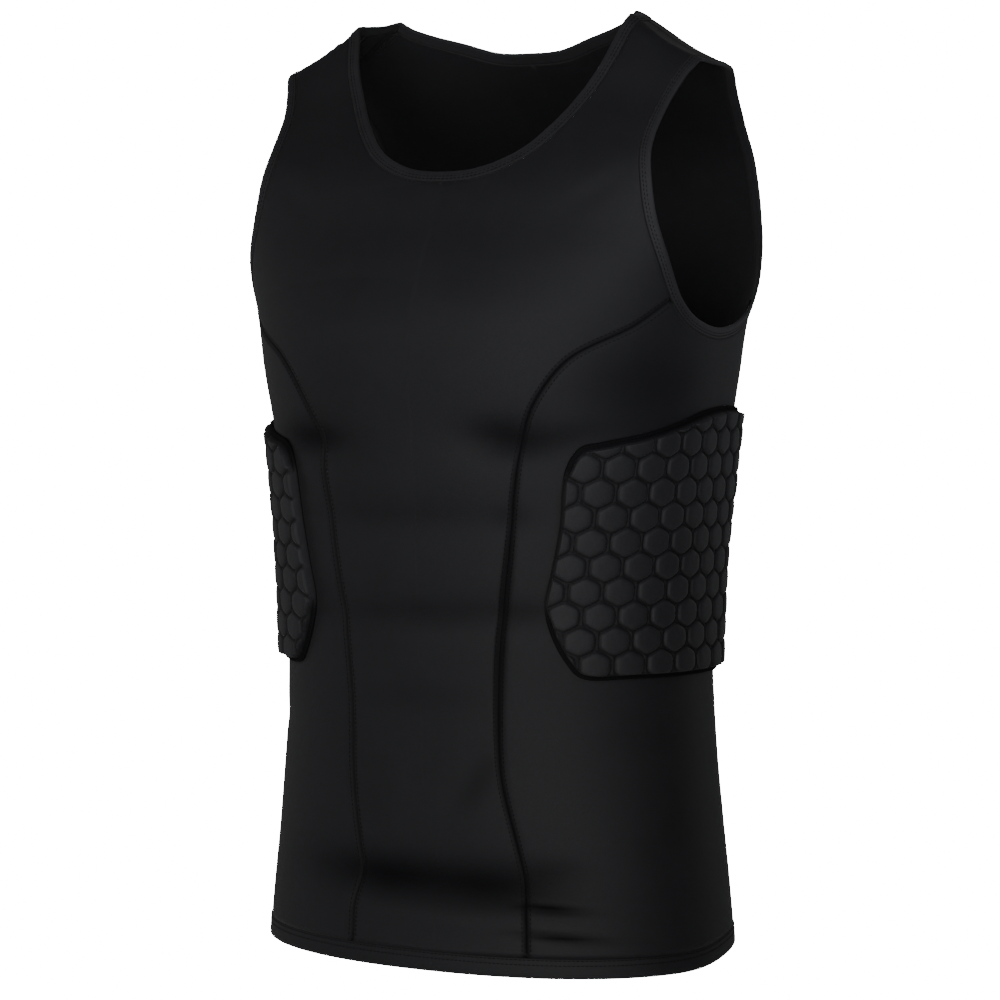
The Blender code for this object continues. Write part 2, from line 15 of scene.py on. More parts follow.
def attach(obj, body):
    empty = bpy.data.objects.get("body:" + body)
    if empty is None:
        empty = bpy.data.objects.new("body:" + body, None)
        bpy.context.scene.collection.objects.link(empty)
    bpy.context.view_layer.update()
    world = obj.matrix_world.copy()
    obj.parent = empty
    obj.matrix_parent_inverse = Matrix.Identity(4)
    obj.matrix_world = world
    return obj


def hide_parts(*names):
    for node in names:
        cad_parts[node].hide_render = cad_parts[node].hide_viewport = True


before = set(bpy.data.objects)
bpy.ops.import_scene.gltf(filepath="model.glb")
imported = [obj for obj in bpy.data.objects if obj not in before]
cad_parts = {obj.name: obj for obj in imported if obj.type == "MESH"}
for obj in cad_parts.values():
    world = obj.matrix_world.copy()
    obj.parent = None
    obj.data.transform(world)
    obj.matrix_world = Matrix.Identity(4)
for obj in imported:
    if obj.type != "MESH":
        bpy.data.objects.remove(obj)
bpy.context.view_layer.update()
print("nodes:", ", ".join(sorted(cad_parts)))

# %% [markdown]
# ## The figure under the cloth
# Stretch cloth takes the shape of what fills it. The figure is given as level sections, each half of
# an egg shape in front and half of another behind, and a sloping roof for the shoulders. One function
# says how far a point is from that surface, and its slope says which way is out. With those two, any
# rough grid of points can be pressed onto the surface, however fine it is.

# %% Level sections of the figure
# height, half width, depth in front and behind, in millimetres, and squareness in front and behind
FIGURE = [
    (60, 206, 16, 18, 4, 4), (0, 211, 25, 31, 4.5, 4), (-32, 212, 37, 53, 5, 4),
    (-60, 212, 51, 81, 5.5, 4), (-90, 210, 72, 103, 5, 4), (-120, 205, 94, 114, 3.4, 3.8),
    (-150, 198, 110, 119, 2.8, 3.5), (-180, 187, 127, 122, 2.6, 3.2), (-215, 176, 141, 123, 2.5, 3),
    (-250, 170, 143, 124, 2.5, 3), (-295, 164, 138, 123, 2.4, 2.9), (-335, 161, 134, 120, 2.35, 2.8),
    (-375, 159, 130, 116, 2.3, 2.6), (-425, 158, 126, 113, 2.25, 2.5), (-475, 159, 122, 112, 2.2, 2.4),
    (-525, 162, 119, 114, 2.2, 2.4), (-575, 167, 118, 118, 2.2, 2.4), (-625, 172.5, 119, 122, 2.2, 2.4),
    (-664, 176, 121, 125, 2.2, 2.4), (-700, 178.5, 123, 127, 2.2, 2.4),
]
SECTIONS = np.array(FIGURE[::-1]) / (1000, 1000, 1000, 1000, 1, 1)
ROOF_NECK, ROOF_HEIGHT, ROOF_SLOPE, ROOF_ROUND = 0.105, 0.0005, 0.485, 0.040
HEM = -0.664
SLOPE_STEP = 5e-5
LEAST_SLOPE = 0.05
LEAST_RATIO = 0.3


def hermite(knots, values, at):
    """Cubic through the knots: value = h00 v0 + h10 s m0 + h01 v1 + h11 s m1 on each span s."""
    slopes = np.gradient(values, knots)
    at = np.clip(at, knots[0], knots[-1])
    i = np.clip(np.searchsorted(knots, at) - 1, 0, len(knots) - 2)
    span = knots[i + 1] - knots[i]
    t = (at - knots[i]) / span
    start = (2 * t**3 - 3 * t**2 + 1) * values[i] + (t**3 - 2 * t**2 + t) * span * slopes[i]
    end = (3 * t**2 - 2 * t**3) * values[i + 1] + (t**3 - t**2) * span * slopes[i + 1]
    return start + end


def section_ratio(x, y, height):
    """How far out a point is in its level section: q = (|x/a|^n + |y/b|^n)^(1/n), 1 on the surface."""
    half_width, front_depth, back_depth, front_square, back_square = (
        hermite(SECTIONS[:, 0], SECTIONS[:, k], height) for k in range(1, 6))
    depth = np.where(y < 0, front_depth, back_depth)
    power = np.where(y < 0, front_square, back_square)
    return (np.abs(x / half_width)**power + np.abs(y / depth)**power)**(1 / power)


def level(points):
    """Near distance from the figure: side = r (1 - 1/q), met by the roof plane in a rounded edge."""
    x, y, z = np.moveaxis(points, -1, 0)
    ratio = np.maximum(section_ratio(x, y, z), LEAST_RATIO)
    side = np.hypot(x, y) * (1 - 1 / ratio) + ROOF_ROUND
    roof_height = ROOF_HEIGHT - ROOF_SLOPE * (np.abs(x) - ROOF_NECK)
    roof = (z - roof_height) / np.hypot(1, ROOF_SLOPE) + ROOF_ROUND
    outside = np.hypot(np.maximum(side, 0), np.maximum(roof, 0))
    return outside - ROOF_ROUND + np.minimum(np.maximum(side, roof), 0)


def climb(points):
    """Gradient of level by central differences."""
    steps = SLOPE_STEP * np.eye(3)
    return np.stack([level(points + step) - level(points - step) for step in steps], -1) / (2 * SLOPE_STEP)


def settle(points, rounds=10):
    """Points pressed onto the figure: p <- p - f(p) g / |g|^2, a few times."""
    points = np.array(points, float)
    for _ in range(rounds):
        slope = climb(points)
        steepness = np.maximum((slope**2).sum(-1), LEAST_SLOPE)
        points -= (level(points) / steepness)[..., None] * slope
    return points


def outward(points):
    """Unit normals of the figure at the points."""
    slope = climb(points)
    return slope / np.linalg.norm(slope, axis=-1, keepdims=True)


trial = settle(np.array([[0.0, -0.12, -0.3], [0.05, -0.12, -0.5]]))
print("figure's front at two heights, m:", trial.round(3).tolist())

# %% [markdown]
# ## Folds
# A compression shirt has few folds, and all of them are soft. The cloth bridges the hollow under the
# chest, dips in bands across the belly, and buckles a little beside the seams above the hem. Each fold
# is a bell shape, long one way and narrow the other, on a line that may slant and bend. Its own sizes
# are in the table, with lengths in millimetres. The first eight are also in the solids. The back and
# sides, which the photograph hides, have similar ones where such a shirt gathers: in the small of the
# back and beside the arms. The cloth also hangs a little, and is turned a little, near the hem.

# %% Table of folds, how deep they press the cloth, and the painted shade in their hollows
Fold = namedtuple("Fold", "across height half_length half_height depth rise face shade bend",
                  defaults=(0, 0))
FRONT, BACK = -1, 1
FOLD_FADE = 0.05
TURN_ANGLE, TURN_START, TURN_REACH = 5.0, -0.520, 0.085
TIP_SAG, TIP_START, TIP_REACH, TIP_FOOT, TIP_DEPTH = 0.0075, 0.100, 0.045, -0.105, 0.060
HEM_SAG, HEM_START, HEM_FRONT, HEM_TURN = 0.0070, -0.520, 0.050, 0.110
# The eighth number, where given, is painted shade in the fold's hollow.
FOLD_TABLE = [
    (66, -300, 34, 16, 4, 0.1, FRONT),
    (-70, -302, 28, 15, 3.4, -0.08, FRONT),
    (10, -352, 75, 18, 1.8, 0.05, FRONT),
    (20, -418, 80, 17, 2.6, 0.03, FRONT),
    (12, -596, 95, 26, 4.5, -0.02, FRONT),
    (-15, -405, 85, 18, 3, 0.06, BACK),
    (20, -455, 95, 22, 3.8, -0.04, BACK),
    (-10, -590, 80, 24, 2.8, 0.05, BACK),
    # finer ones, left to this scene
    (-86, -301, 32, 12, 2.4, -0.03, FRONT, 0.62),
    (70, -299, 28, 12, 2.6, -0.1, FRONT, 0.62),
    (108, -297, 26, 9, 1.2, 0.2, FRONT, 0.35),
    (0, -354, 75, 10, 1, 0, FRONT, 0.16),
    (70, -353, 14, 9, 1, 0, FRONT, 0.25),
    (12, -422, 75, 10, 1.8, 0.02, FRONT, 0.28),
    (76, -420, 20, 8, 1.2, 0.05, FRONT, 0.2),
    (-6, -481, 50, 11, 0.8, 0.02, FRONT, 0.12),
    (40, -540, 16, 14, 1.2, 0.9, FRONT, 0.25),
    (-36, -603.5, 50, 14.5, 4.4, -0.02, FRONT, 0.76),
    (50, -605, 52, 14.5, 4.4, -0.02, FRONT, 0.76),
    (94, -594, 22, 8, 1.2, 0.05, FRONT, 0.2),
    (10, -627.5, 80, 9, -1.8, 0, FRONT, 0, 0.4),
    (95, -618, 22, 2.4, 1.8, -0.05, FRONT, 0.85),
    (97, -612.5, 20, 2.4, -1, -0.04, FRONT),
    (101, -636.5, 28, 2.4, 1.8, -0.06, FRONT, 0.85),
    (150, -262, 34, 26, 1.8, 0, FRONT, 0.3),
    (99, -631, 22, 2.6, -1, -0.05, FRONT),
    (118, -130, 20, 10, 0.8, 0.6, FRONT),
    (-118, -132, 20, 10, 0.8, -0.6, FRONT),
    (30, -432, 60, 9, 1.4, 0.05, BACK, 0, 1),
    (-50, -478, 45, 8, 1.2, -0.12, BACK),
    (40, -500, 50, 10, 1, 0.08, BACK),
    (-80, -420, 22, 6, 1, 0.3, BACK),
    (86, -444, 22, 6, 1, -0.28, BACK),
    (112, -250, 30, 9, 1.2, 0.7, BACK),
    (-110, -256, 28, 9, 1.1, -0.64, BACK),
    (86, -624, 22, 2.6, 1, 0.06, BACK),
    (-90, -630, 20, 2.6, 0.9, -0.05, BACK),
    (148, -500, 24, 12, 1, 0.3, FRONT),
    (-148, -506, 24, 12, 1, -0.3, FRONT),
]
FOLDS = [Fold(*np.array(row[:5]) / 1000, *row[5:]) for row in FOLD_TABLE]


def fold_sum(points, measure):
    """Sum of bells: measure * exp(-(dx / length)^2 - (dz / height)^2), dz taken from a line that rises and
    bends with dx, and faded out towards the side line."""
    x, y, z = np.moveaxis(points, -1, 0)
    total = np.zeros_like(x)
    for fold in FOLDS:
        run = x - fold.across
        over = z - fold.height - fold.rise * run - fold.bend * run**2
        facing = np.clip(y * fold.face / FOLD_FADE, 0, 1)
        bell = np.exp(-(run / fold.half_length)**2 - (over / fold.half_height)**2)
        total += getattr(fold, measure) * facing * bell
    return total


def smooth_step(value):
    """0 below 0, 1 above 1, and 3 t^2 - 2 t^3 between."""
    t = np.clip(value, 0, 1)
    return t * t * (3 - 2 * t)


def sag(points):
    """How far the cloth hangs below the figure: at the strap tips, which droop, and at the front hem."""
    x, y, z = np.moveaxis(points, -1, 0)
    tip = smooth_step((np.abs(x) - TIP_START) / TIP_REACH) * smooth_step((z - TIP_FOOT) / TIP_DEPTH)
    front = smooth_step((HEM_FRONT - y) / HEM_TURN) * smooth_step((HEM_START - z) / (HEM_START - HEM))
    return TIP_SAG * tip + HEM_SAG * front


def turned(points):
    """The same points where the cloth is turned a little about the upright axis, near the hem."""
    near_hem = points[..., 2] < TURN_START
    x, y, z = points[near_hem].T
    angle = np.radians(TURN_ANGLE) * smooth_step((TURN_START - z) / TURN_REACH)
    place = points.copy()
    place[near_hem] = settle(
        np.stack([x * np.cos(angle) - y * np.sin(angle), x * np.sin(angle) + y * np.cos(angle), z], -1))
    return place


def cloth(points, rise=0.0):
    """Figure points, turned near the hem, moved out along the normal by rise, less the folds, and down by the
    sag."""
    place = turned(points)
    out = place + outward(place) * (rise - fold_sum(place, "depth"))[..., None]
    out[..., 2] -= sag(points)
    return out


print("folds:", len(FOLDS), "deepest", max(fold.depth for fold in FOLDS), "m")

# %% [markdown]
# ## Cut lines
# A maker draws each piece by its edges. The neckline and the left armhole are smooth closed curves
# through a few measured points, and two curved seams run down from the armhole. The right half is the
# same, mirrored. Every line is pressed onto the figure, and a line beside another one, at a steady
# distance over the surface, gives the inner edge of a binding.

# %% Tables of the cut lines
# Each row is a point: to the wearer's left, back and up, in millimetres. A seam ends at the panels' foot.
def metres(*rows):
    """Rows of millimetres as an array of metres."""
    return np.array(rows) / 1000


NECKLINE = metres(
    (0, -90, -114), (28, -88, -111), (54, -79, -99), (72, -65, -81), (86, -50, -60), (98, -37, -35),
    (105, -20, -10), (106, 0, 0), (102, 13, 0), (91, 22, -2), (73, 30, -7), (50, 36, -13),
    (25, 41, -20), (0, 42, -21)
)
NECK_POINT = 7
ARMHOLE = metres(
    (167, 6, -31), (163, -15, -35), (159, -35, -44), (154, -53, -60), (152, -67, -79), (152, -76, -100),
    (155, -81, -122), (159, -82, -146), (165, -78, -170), (171, -65, -199), (174, -50, -212),
    (175, -30, -219), (176, -6, -222), (176, 19, -219), (175, 42, -211), (172, 63, -197),
    (167, 85, -171), (162, 97, -140), (158, 97, -105), (156, 86, -77), (158, 66, -55), (163, 36, -38)
)
FRONT_SEAM_HEAD, BACK_SEAM_HEAD = 9, 15
NECK_BAND, ARM_BAND, HEM_BAND = 0.009, 0.008, 0.014
CLOTH = 0.0014
PANEL_FOOT = HEM + HEM_BAND
FRONT_SEAM = metres(
    (150, -90, -220), (113, -121, -244), (91, -127, -272), (81, -127, -297), (74, -125, -335),
    (69, -122, -375), (62, -119, -425), (58, -115, -475), (58, -112, -525), (62, -111, -575),
    (67, -112, -625), (68, -113, -650)
)
BACK_SEAM = metres(
    (161, 84, -220), (142, 96, -250), (125, 102, -290), (114, 102, -335), (106, 99, -375),
    (101, 97, -425), (98, 96, -475), (98, 98, -525), (101, 101, -575), (104, 104, -625),
    (105, 106, -650)
)

# %% Curves through the tables
NECK_STEPS, ARM_STEPS, UNDERARM_STEPS, SEAM_STEPS = 60, 84, 60, 150
FINE = 12


def mirrored(line):
    """The same points on the wearer's right."""
    return line * (-1, 1, 1)


def length_along(points, axis=0, power=1.0):
    """Distance along a line, or along one axis of a grid, to each point: the sum of |step|^power."""
    steps = np.linalg.norm(np.diff(points, axis=axis), axis=-1)**power
    return np.pad(steps.cumsum(axis=axis), [(int(k == axis), 0) for k in range(steps.ndim)])


def at_lengths(line, lengths):
    """Points of a line at given distances along it."""
    along = length_along(line)
    return np.stack([np.interp(lengths, along, line[:, k]) for k in range(line.shape[1])], -1)


def even(line, steps):
    """The same line with its points evenly spaced."""
    return at_lengths(line, np.linspace(0, length_along(line)[-1], steps + 1))


def spline(rows, first, last, steps):
    """Even points on the cubic through the rows, its knots spaced by the root of the distance."""
    knots = length_along(rows, power=0.5)
    at = np.linspace(knots[first], knots[last], FINE * steps + 1)
    return even(np.stack([hermite(knots, rows[:, k], at) for k in range(rows.shape[1])], -1), steps)


def closed_spline(rows, first, last, steps):
    """The same on a closed curve; row numbers may run past the end."""
    around = np.arange(-3, 2 * len(rows) + 3) % len(rows)
    return spline(rows[around], first + 3, last + 3, steps)


def beside(line, distance, closed=True):
    """Line at a distance to the left, seen from outside: p + distance * (normal x ahead), settled."""
    ahead = np.roll(line, -1, axis=0) - np.roll(line, 1, axis=0) if closed else np.gradient(line, axis=0)
    left = np.cross(outward(line), ahead)
    left /= np.linalg.norm(left, axis=1, keepdims=True)
    return settle(line + distance * left)


def neck_loop():
    """The finished neck edge, from centre front by the left shoulder round to centre front."""
    flipped = mirrored(NECKLINE)
    rows = np.concatenate([flipped[3:0:-1], NECKLINE, flipped[-2:-5:-1]])
    front = spline(rows, 3, 3 + NECK_POINT, NECK_STEPS)
    back = spline(rows, 3 + NECK_POINT, 2 + len(NECKLINE), NECK_STEPS)
    half = np.concatenate([front, back[1:]])
    return settle(np.concatenate([half, mirrored(half)[-2:0:-1]]))


def arm_loop():
    """The finished edge of the left armhole, from the shoulder down the front and up the back."""
    front = closed_spline(ARMHOLE, 0, FRONT_SEAM_HEAD, ARM_STEPS)
    under = closed_spline(ARMHOLE, FRONT_SEAM_HEAD, BACK_SEAM_HEAD, UNDERARM_STEPS)
    back = closed_spline(ARMHOLE, BACK_SEAM_HEAD, len(ARMHOLE), ARM_STEPS)
    return settle(np.concatenate([front[:-1], under[:-1], back[:-1]]))


def seam_line(head, rows):
    """A side seam, from its head on the armhole binding down to the hem."""
    line = settle(spline(np.concatenate([[head], rows]), 0, len(rows), SEAM_STEPS))
    line[-1, 2] = PANEL_FOOT
    return line


neck = neck_loop()
arm = arm_loop()
neck_edge = beside(neck, -NECK_BAND)
arm_edge = beside(arm, -ARM_BAND)
FRONT_HEAD, BACK_HEAD = ARM_STEPS, ARM_STEPS + UNDERARM_STEPS
front_seam = seam_line(arm_edge[FRONT_HEAD], FRONT_SEAM)
back_seam = seam_line(arm_edge[BACK_HEAD], BACK_SEAM)
print("neck edge", round(length_along(neck)[-1], 3), "m, armhole", round(length_along(arm)[-1], 3),
      "m, front seam", round(length_along(front_seam)[-1], 3), "m")

# %% [markdown]
# ## Making meshes from grids
# A cloth piece is one wall: an outer face, an inner face, and a narrow rim between them. Both faces
# come from the same grid of figure points, so the wall is as thick everywhere. Each piece keeps a UV
# map in metres, across and down the cloth, for the knit to follow, and a value on each point
# for its painted shade: near seams, in the folds' hollows, along a binding's meeting edge and in a
# pad's rim and grooves.

# %% Mesh helpers
WELD = 1e-6


def add_object(name, data):
    """An object at the origin, in the scene."""
    item = bpy.data.objects.new(name, data)
    bpy.context.scene.collection.objects.link(item)
    return item


def add_mesh(name, vertices, faces, uv, near=None, more=None):
    """An object at the origin from arrays of points, quads, per-point UV and painted shade, and more faces
    of another size. The sum of each quad's volume to the origin says whether to turn them all over."""
    a, b, c, d = (vertices[faces[:, k]] for k in range(4))
    if (np.cross(c - a, d - b) * (a + b + c + d)).sum() < 0:
        faces, more = faces[:, ::-1], None if more is None else more[:, ::-1]
    mesh = bpy.data.meshes.new(name)
    mesh.from_pydata(vertices.tolist(), [], faces.tolist() + ([] if more is None else more.tolist()))
    layer = mesh.uv_layers.new(name="cloth")
    corner = np.empty(len(mesh.loops), np.int32)
    mesh.loops.foreach_get("vertex_index", corner)
    layer.data.foreach_set("uv", uv[corner].astype(np.float32).ravel())
    # The near values are painted shade, kept on the points for the finish to read.
    if near is not None:
        mesh.attributes.new("painted_shade", "FLOAT", "POINT").data.foreach_set("value", near.astype(np.float32))
    mesh.shade_smooth()
    return add_object(name, mesh)


def numbered_quads(number):
    """Quads over an array of point numbers."""
    corners = [number[:-1, :-1], number[1:, :-1], number[1:, 1:], number[:-1, 1:]]
    return np.stack(corners, -1).reshape(-1, 4)


def grid_quads(rows, columns, wrap=(0, 0)):
    """Quads over a grid of points numbered row by row; wrap joins the last row or column to the first."""
    number = np.arange(rows * columns).reshape(rows, columns)
    return numbered_quads(np.pad(number, [(0, more) for more in wrap], mode="wrap"))


def weld(grids):
    """Grids joined where their points meet: the kept points' places in the list, and quads over them."""
    points = np.concatenate([grid.reshape(-1, 3) for grid in grids])
    _, first, index = np.unique(np.round(points / WELD), axis=0, return_index=True, return_inverse=True)
    index, start, quads = index.ravel(), 0, []
    for grid in grids:
        rows, columns = grid.shape[:2]
        quads.append(numbered_quads(index[start:start + rows * columns].reshape(rows, columns)))
        start += rows * columns
    return first, np.concatenate(quads)


def open_edges(quads):
    """Edges that only one quad uses."""
    edges = np.concatenate([quads[:, (k, (k + 1) % 4)] for k in range(4)])
    _, place, uses = np.unique(np.sort(edges, axis=1), axis=0, return_index=True, return_counts=True)
    return edges[place[uses == 1]]


def gap_to(points, line):
    """Distance of each point to the nearest point of a line."""
    flat = points.reshape(-1, points.shape[-1])
    square = (flat**2).sum(1)[:, None] + (line**2).sum(1)[None] - 2 * flat @ line.T
    return np.sqrt(np.maximum(square.min(axis=1), 0)).reshape(points.shape[:-1])


def report(item):
    """Triangles and size of a piece."""
    count = sum(len(face.vertices) - 2 for face in item.data.polygons)
    print(f"{item.name}: {count} triangles, {[round(1000 * v) for v in item.dimensions]} mm")
    return item


# %% [markdown]
# ## Panels
# The front, back and side panels meet at four curved seams. On the shirt these show as dark sunk lines,
# because the cloth rolls inwards on both sides of the stitching. Here every panel runs right up to the
# seam line and dips there by a bell-shaped roll, so two neighbours close into one groove. The panel's
# rows run from one edge to the other, and its last columns crowd towards the seam to carry the roll.

# %% Panel grids
PANEL_STEPS, SIDE_STEPS = 54, 60
CENTRE_ROUNDS = 24
SEAM_COLUMNS = np.array([0.0032, 0.0018, 0.0008, 0.0])
SEAM_ROLL, SEAM_WIDTH = 0.0013, 0.0017
DRAWN_IN, DRAWN_HEIGHT, DRAWN_LENGTH = 0.9, -0.430, 0.070
EDGE_ROLL, EDGE_WIDTH = 0.0003, 0.0012
NEAR_WIDTH, SEAM_SHADE, BAND_SHADE = 0.0022, 0.64, 0.35
FRONT_EASE, BACK_EASE = 1.12, 1.28
GUIDE_RADIUS, GUIDE_DEPTH = 0.14, 0.12
LEVEL_ROWS, LEVEL_REACH = 24, 2.0


def level_ring(points, height, rounds=4):
    """Points settled on the figure at one height, or each at its own."""
    ring = np.array(points, float)
    for _ in range(rounds):
        ring[:, 2] = height
        ring = settle(ring, 4)
    ring[:, 2] = height
    return ring


def level_arc(start, end, height, steps):
    """Even points round the figure at one height, between two points' bearings."""
    bearing = np.linspace(np.arctan2(start[0], -start[1]), np.arctan2(end[0], -end[1]), FINE * steps + 1)
    circle = GUIDE_RADIUS * np.stack([np.sin(bearing), -np.cos(bearing), 0 * bearing], -1)
    return even(level_ring(circle, height), steps)


def crowded(lengths, steps, both=False):
    """Shares across rows of given lengths: even, but with the last columns at fixed distances from the
    edge, and the first ones too where both edges are seams."""
    near = 1 - SEAM_COLUMNS[None] / lengths[:, None]
    low = 1 - near[:, :1] if both else np.zeros((len(lengths), 1))
    t = np.linspace(0, 1, steps - len(SEAM_COLUMNS) + 1)[None]
    middle = low + (near[:, :1] - low) * t
    parts = [middle, near[:, 1:]]
    if both:
        parts = [1 - near[:, :0:-1]] + parts
    return np.concatenate(parts, axis=1)


def half_panel(neck_part, arm_part, seam, centre_ease):
    """Left half of a panel: row r runs from the neck edge or centre line, where it is level, to the armhole
    edge or seam, and is pressed onto the figure."""
    shoulder = settle(even(np.array([neck_part[0], arm_part[0]]), PANEL_STEPS))
    right = np.concatenate([arm_part[:-1], seam])
    below = right[NECK_STEPS:, 2] - PANEL_FOOT
    heights = PANEL_FOOT + (neck_part[-1, 2] - PANEL_FOOT) * np.clip(below / below[0], 0, 1)**centre_ease
    depth = np.sign(neck_part[-1, 1]) * GUIDE_DEPTH
    centre = level_ring(np.stack([0 * heights, 0 * heights + depth, heights], -1), heights, CENTRE_ROUNDS)
    left = np.concatenate([neck_part, centre[1:]])
    share = crowded(np.linalg.norm(right - left, axis=1), PANEL_STEPS)
    across = share[..., None]
    grid = (1 - across) * left[:, None] + across * right[:, None]
    ease = smooth_step((np.arange(len(left)) - NECK_STEPS) / LEVEL_ROWS)[:, None]
    grid[..., 2] += ease * (share * smooth_step(LEVEL_REACH * share) - share) * (right - left)[:, 2:]
    grid = settle(grid)
    grid[:, 0], grid[:, -1] = left, right
    grid[0] = at_lengths(shoulder, share[0] * length_along(shoulder)[-1])
    foot = level_arc(left[-1], right[-1], PANEL_FOOT, PANEL_STEPS)
    grid[-1] = at_lengths(foot, share[-1] * length_along(foot)[-1])
    return grid


def side_grid():
    """Side panel: the four borders blended, top + bottom + left + right - corners, then settled."""
    top = arm_edge[FRONT_HEAD:BACK_HEAD + 1]
    foot = level_arc(front_seam[-1], back_seam[-1], PANEL_FOOT, SIDE_STEPS)
    lengths = np.linspace(length_along(top)[-1], length_along(foot)[-1], SEAM_STEPS + 1)
    u = crowded(lengths, SIDE_STEPS, both=True)[..., None]
    v = np.linspace(0, 1, SEAM_STEPS + 1)[:, None, None]
    top_points = np.stack([at_lengths(top, row * length_along(top)[-1]) for row in u[..., 0]])
    foot_points = np.stack([at_lengths(foot, row * length_along(foot)[-1]) for row in u[..., 0]])
    edges = (1 - u) * front_seam[:, None] + u * back_seam[:, None]
    corners = ((1 - u) * (1 - v) * top[0] + u * (1 - v) * top[-1] + (1 - u) * v * foot[0] + u * v * foot[-1])
    grid = settle((1 - v) * top_points + v * foot_points + edges - corners)
    grid[:, 0], grid[:, -1] = front_seam, back_seam
    grid[0], grid[-1] = top_points[0], foot_points[-1]
    return grid


def cloth_uv(grid):
    """Metres across from the centre line, or from the grid's middle, and down from its top."""
    across = length_along(grid, 1) + np.abs(grid[:, :1, 0])
    down = length_along(grid)[:, grid.shape[1] // 2, None]
    return np.stack([across, -down + 0 * across], -1).reshape(-1, 2)


def cloth_wall(name, grids, seams, edges):
    """Closed wall on welded grids: outer face at -roll, inner face a cloth's thickness behind, and a rim.
    The roll is a bell of the distance to the seams, and a smaller one of that to the bound edges. On the
    wearer's left front, over the ribs, the photograph shows the seam drawn in more."""
    kept, quads = weld(grids)
    points = np.concatenate([grid.reshape(-1, 3) for grid in grids])[kept]
    uv = np.concatenate([cloth_uv(grid) for grid in grids])[kept]
    seam_gap, edge_gap = gap_to(points, seams), gap_to(points, edges)
    left_front = (points[:, 0] > 0) & (points[:, 1] < 0)
    drawn = 1 + DRAWN_IN * np.exp(-((points[:, 2] - DRAWN_HEIGHT) / DRAWN_LENGTH)**2) * left_front
    roll = drawn * SEAM_ROLL * np.exp(-(seam_gap / SEAM_WIDTH / drawn)**2)
    roll += EDGE_ROLL * np.exp(-(edge_gap / EDGE_WIDTH)**2)
    # Painted shade: a bell of the seam distance, widened where the seam is drawn in, and the folds' painted
    # shade in their hollows.
    near = np.maximum(SEAM_SHADE * np.exp(-(seam_gap / NEAR_WIDTH / drawn)**2),
                      np.minimum(fold_sum(turned(points), "shade"), 1))
    count = len(points)
    border = open_edges(quads)
    rim = np.stack([border[:, 1], border[:, 0], border[:, 0] + count, border[:, 1] + count], -1)
    faces = np.concatenate([quads, quads[:, ::-1] + count, rim])
    vertices = np.concatenate([cloth(points, -roll), cloth(points, -roll - CLOTH)])
    return report(add_mesh(name, vertices, faces, np.concatenate([uv, uv]), np.tile(near, 2)))


def flipped_grid(grid):
    """The same grid on the wearer's right, with its columns the other way round."""
    return mirrored(grid)[:, ::-1]


# %% Cut the four panels
front_seams = np.concatenate([front_seam, mirrored(front_seam)])
back_seams = np.concatenate([back_seam, mirrored(back_seam)])
bound_edges = np.concatenate([neck_edge, arm_edge, mirrored(arm_edge)])
front_half = half_panel(neck_edge[:NECK_STEPS + 1][::-1], arm_edge[:FRONT_HEAD + 1], front_seam, FRONT_EASE)
back_arm = np.concatenate([arm_edge[BACK_HEAD:], arm_edge[:1]])[::-1]
back_half = half_panel(neck_edge[NECK_STEPS:2 * NECK_STEPS + 1], back_arm, back_seam, BACK_EASE)
side = side_grid()

front_panel, back_panel = (
    cloth_wall(f"{face}_panel_cloth", [flipped_grid(half), half], seams, bound_edges)
    for face, half, seams in (("front", front_half, front_seams), ("back", back_half, back_seams)))
side_seams = np.concatenate([front_seam, back_seam])
side_left = cloth_wall("side_cloth_left", [side], side_seams, arm_edge)
side_right = cloth_wall("side_cloth_right", [flipped_grid(side)], mirrored(side_seams), mirrored(arm_edge))

# %% [markdown]
# ## Bindings and hem
# The neck and armholes are bound with a folded strip of the same knit, and the hem is turned up and
# cover stitched. Seen in section each is a flat loop: out over the panel's edge, round a soft fold at the
# finished edge, and back inside. That section is a short list of distances from the finished edge and
# rises over the cloth, carried round the loop. The stitching pulls a fine ripple into the strip.

# %% Section of a binding, carried round a loop
FOLD_RADIUS = 0.0011
RIPPLE, RIPPLE_LENGTH = 0.00010, 0.0042
FLAT_SHARES = np.array([1.0, 0.97, 0.86, 0.74, 0.62, 0.5, 0.38, 0.26])
DIP_SHARES = np.array([-0.9, -0.25, -0.02, -0.35, 0.0, 0.05, 0.15, 0.1])
DIP, MEETING_SHADOW = 0.00045, 0.0006
BAND_PROUD, BAND_THICKNESS = 0.0006, 0.0022
HEM_PROUD, HEM_THICKNESS = 0.0004, 0.0020
HEM_POINTS = 480


def binding_profile(width, proud, thickness):
    """Distances from the finished edge and rises, from the meeting edge over the fold and back inside."""
    turn = np.linspace(90, 270, 9)[1:-1]
    middle, half = proud - thickness / 2, thickness / 2
    fold_in = FOLD_RADIUS * (1 + np.cos(np.radians(turn)))
    fold_rise = middle + half * np.sin(np.radians(turn))
    flat = FLAT_SHARES * width
    dip = DIP_SHARES * DIP
    outer = np.stack([flat, proud + dip], -1)
    inner = np.stack([flat[::-1], middle - half - 0 * flat], -1)
    return np.concatenate([outer, np.stack([fold_in, fold_rise], -1), inner])


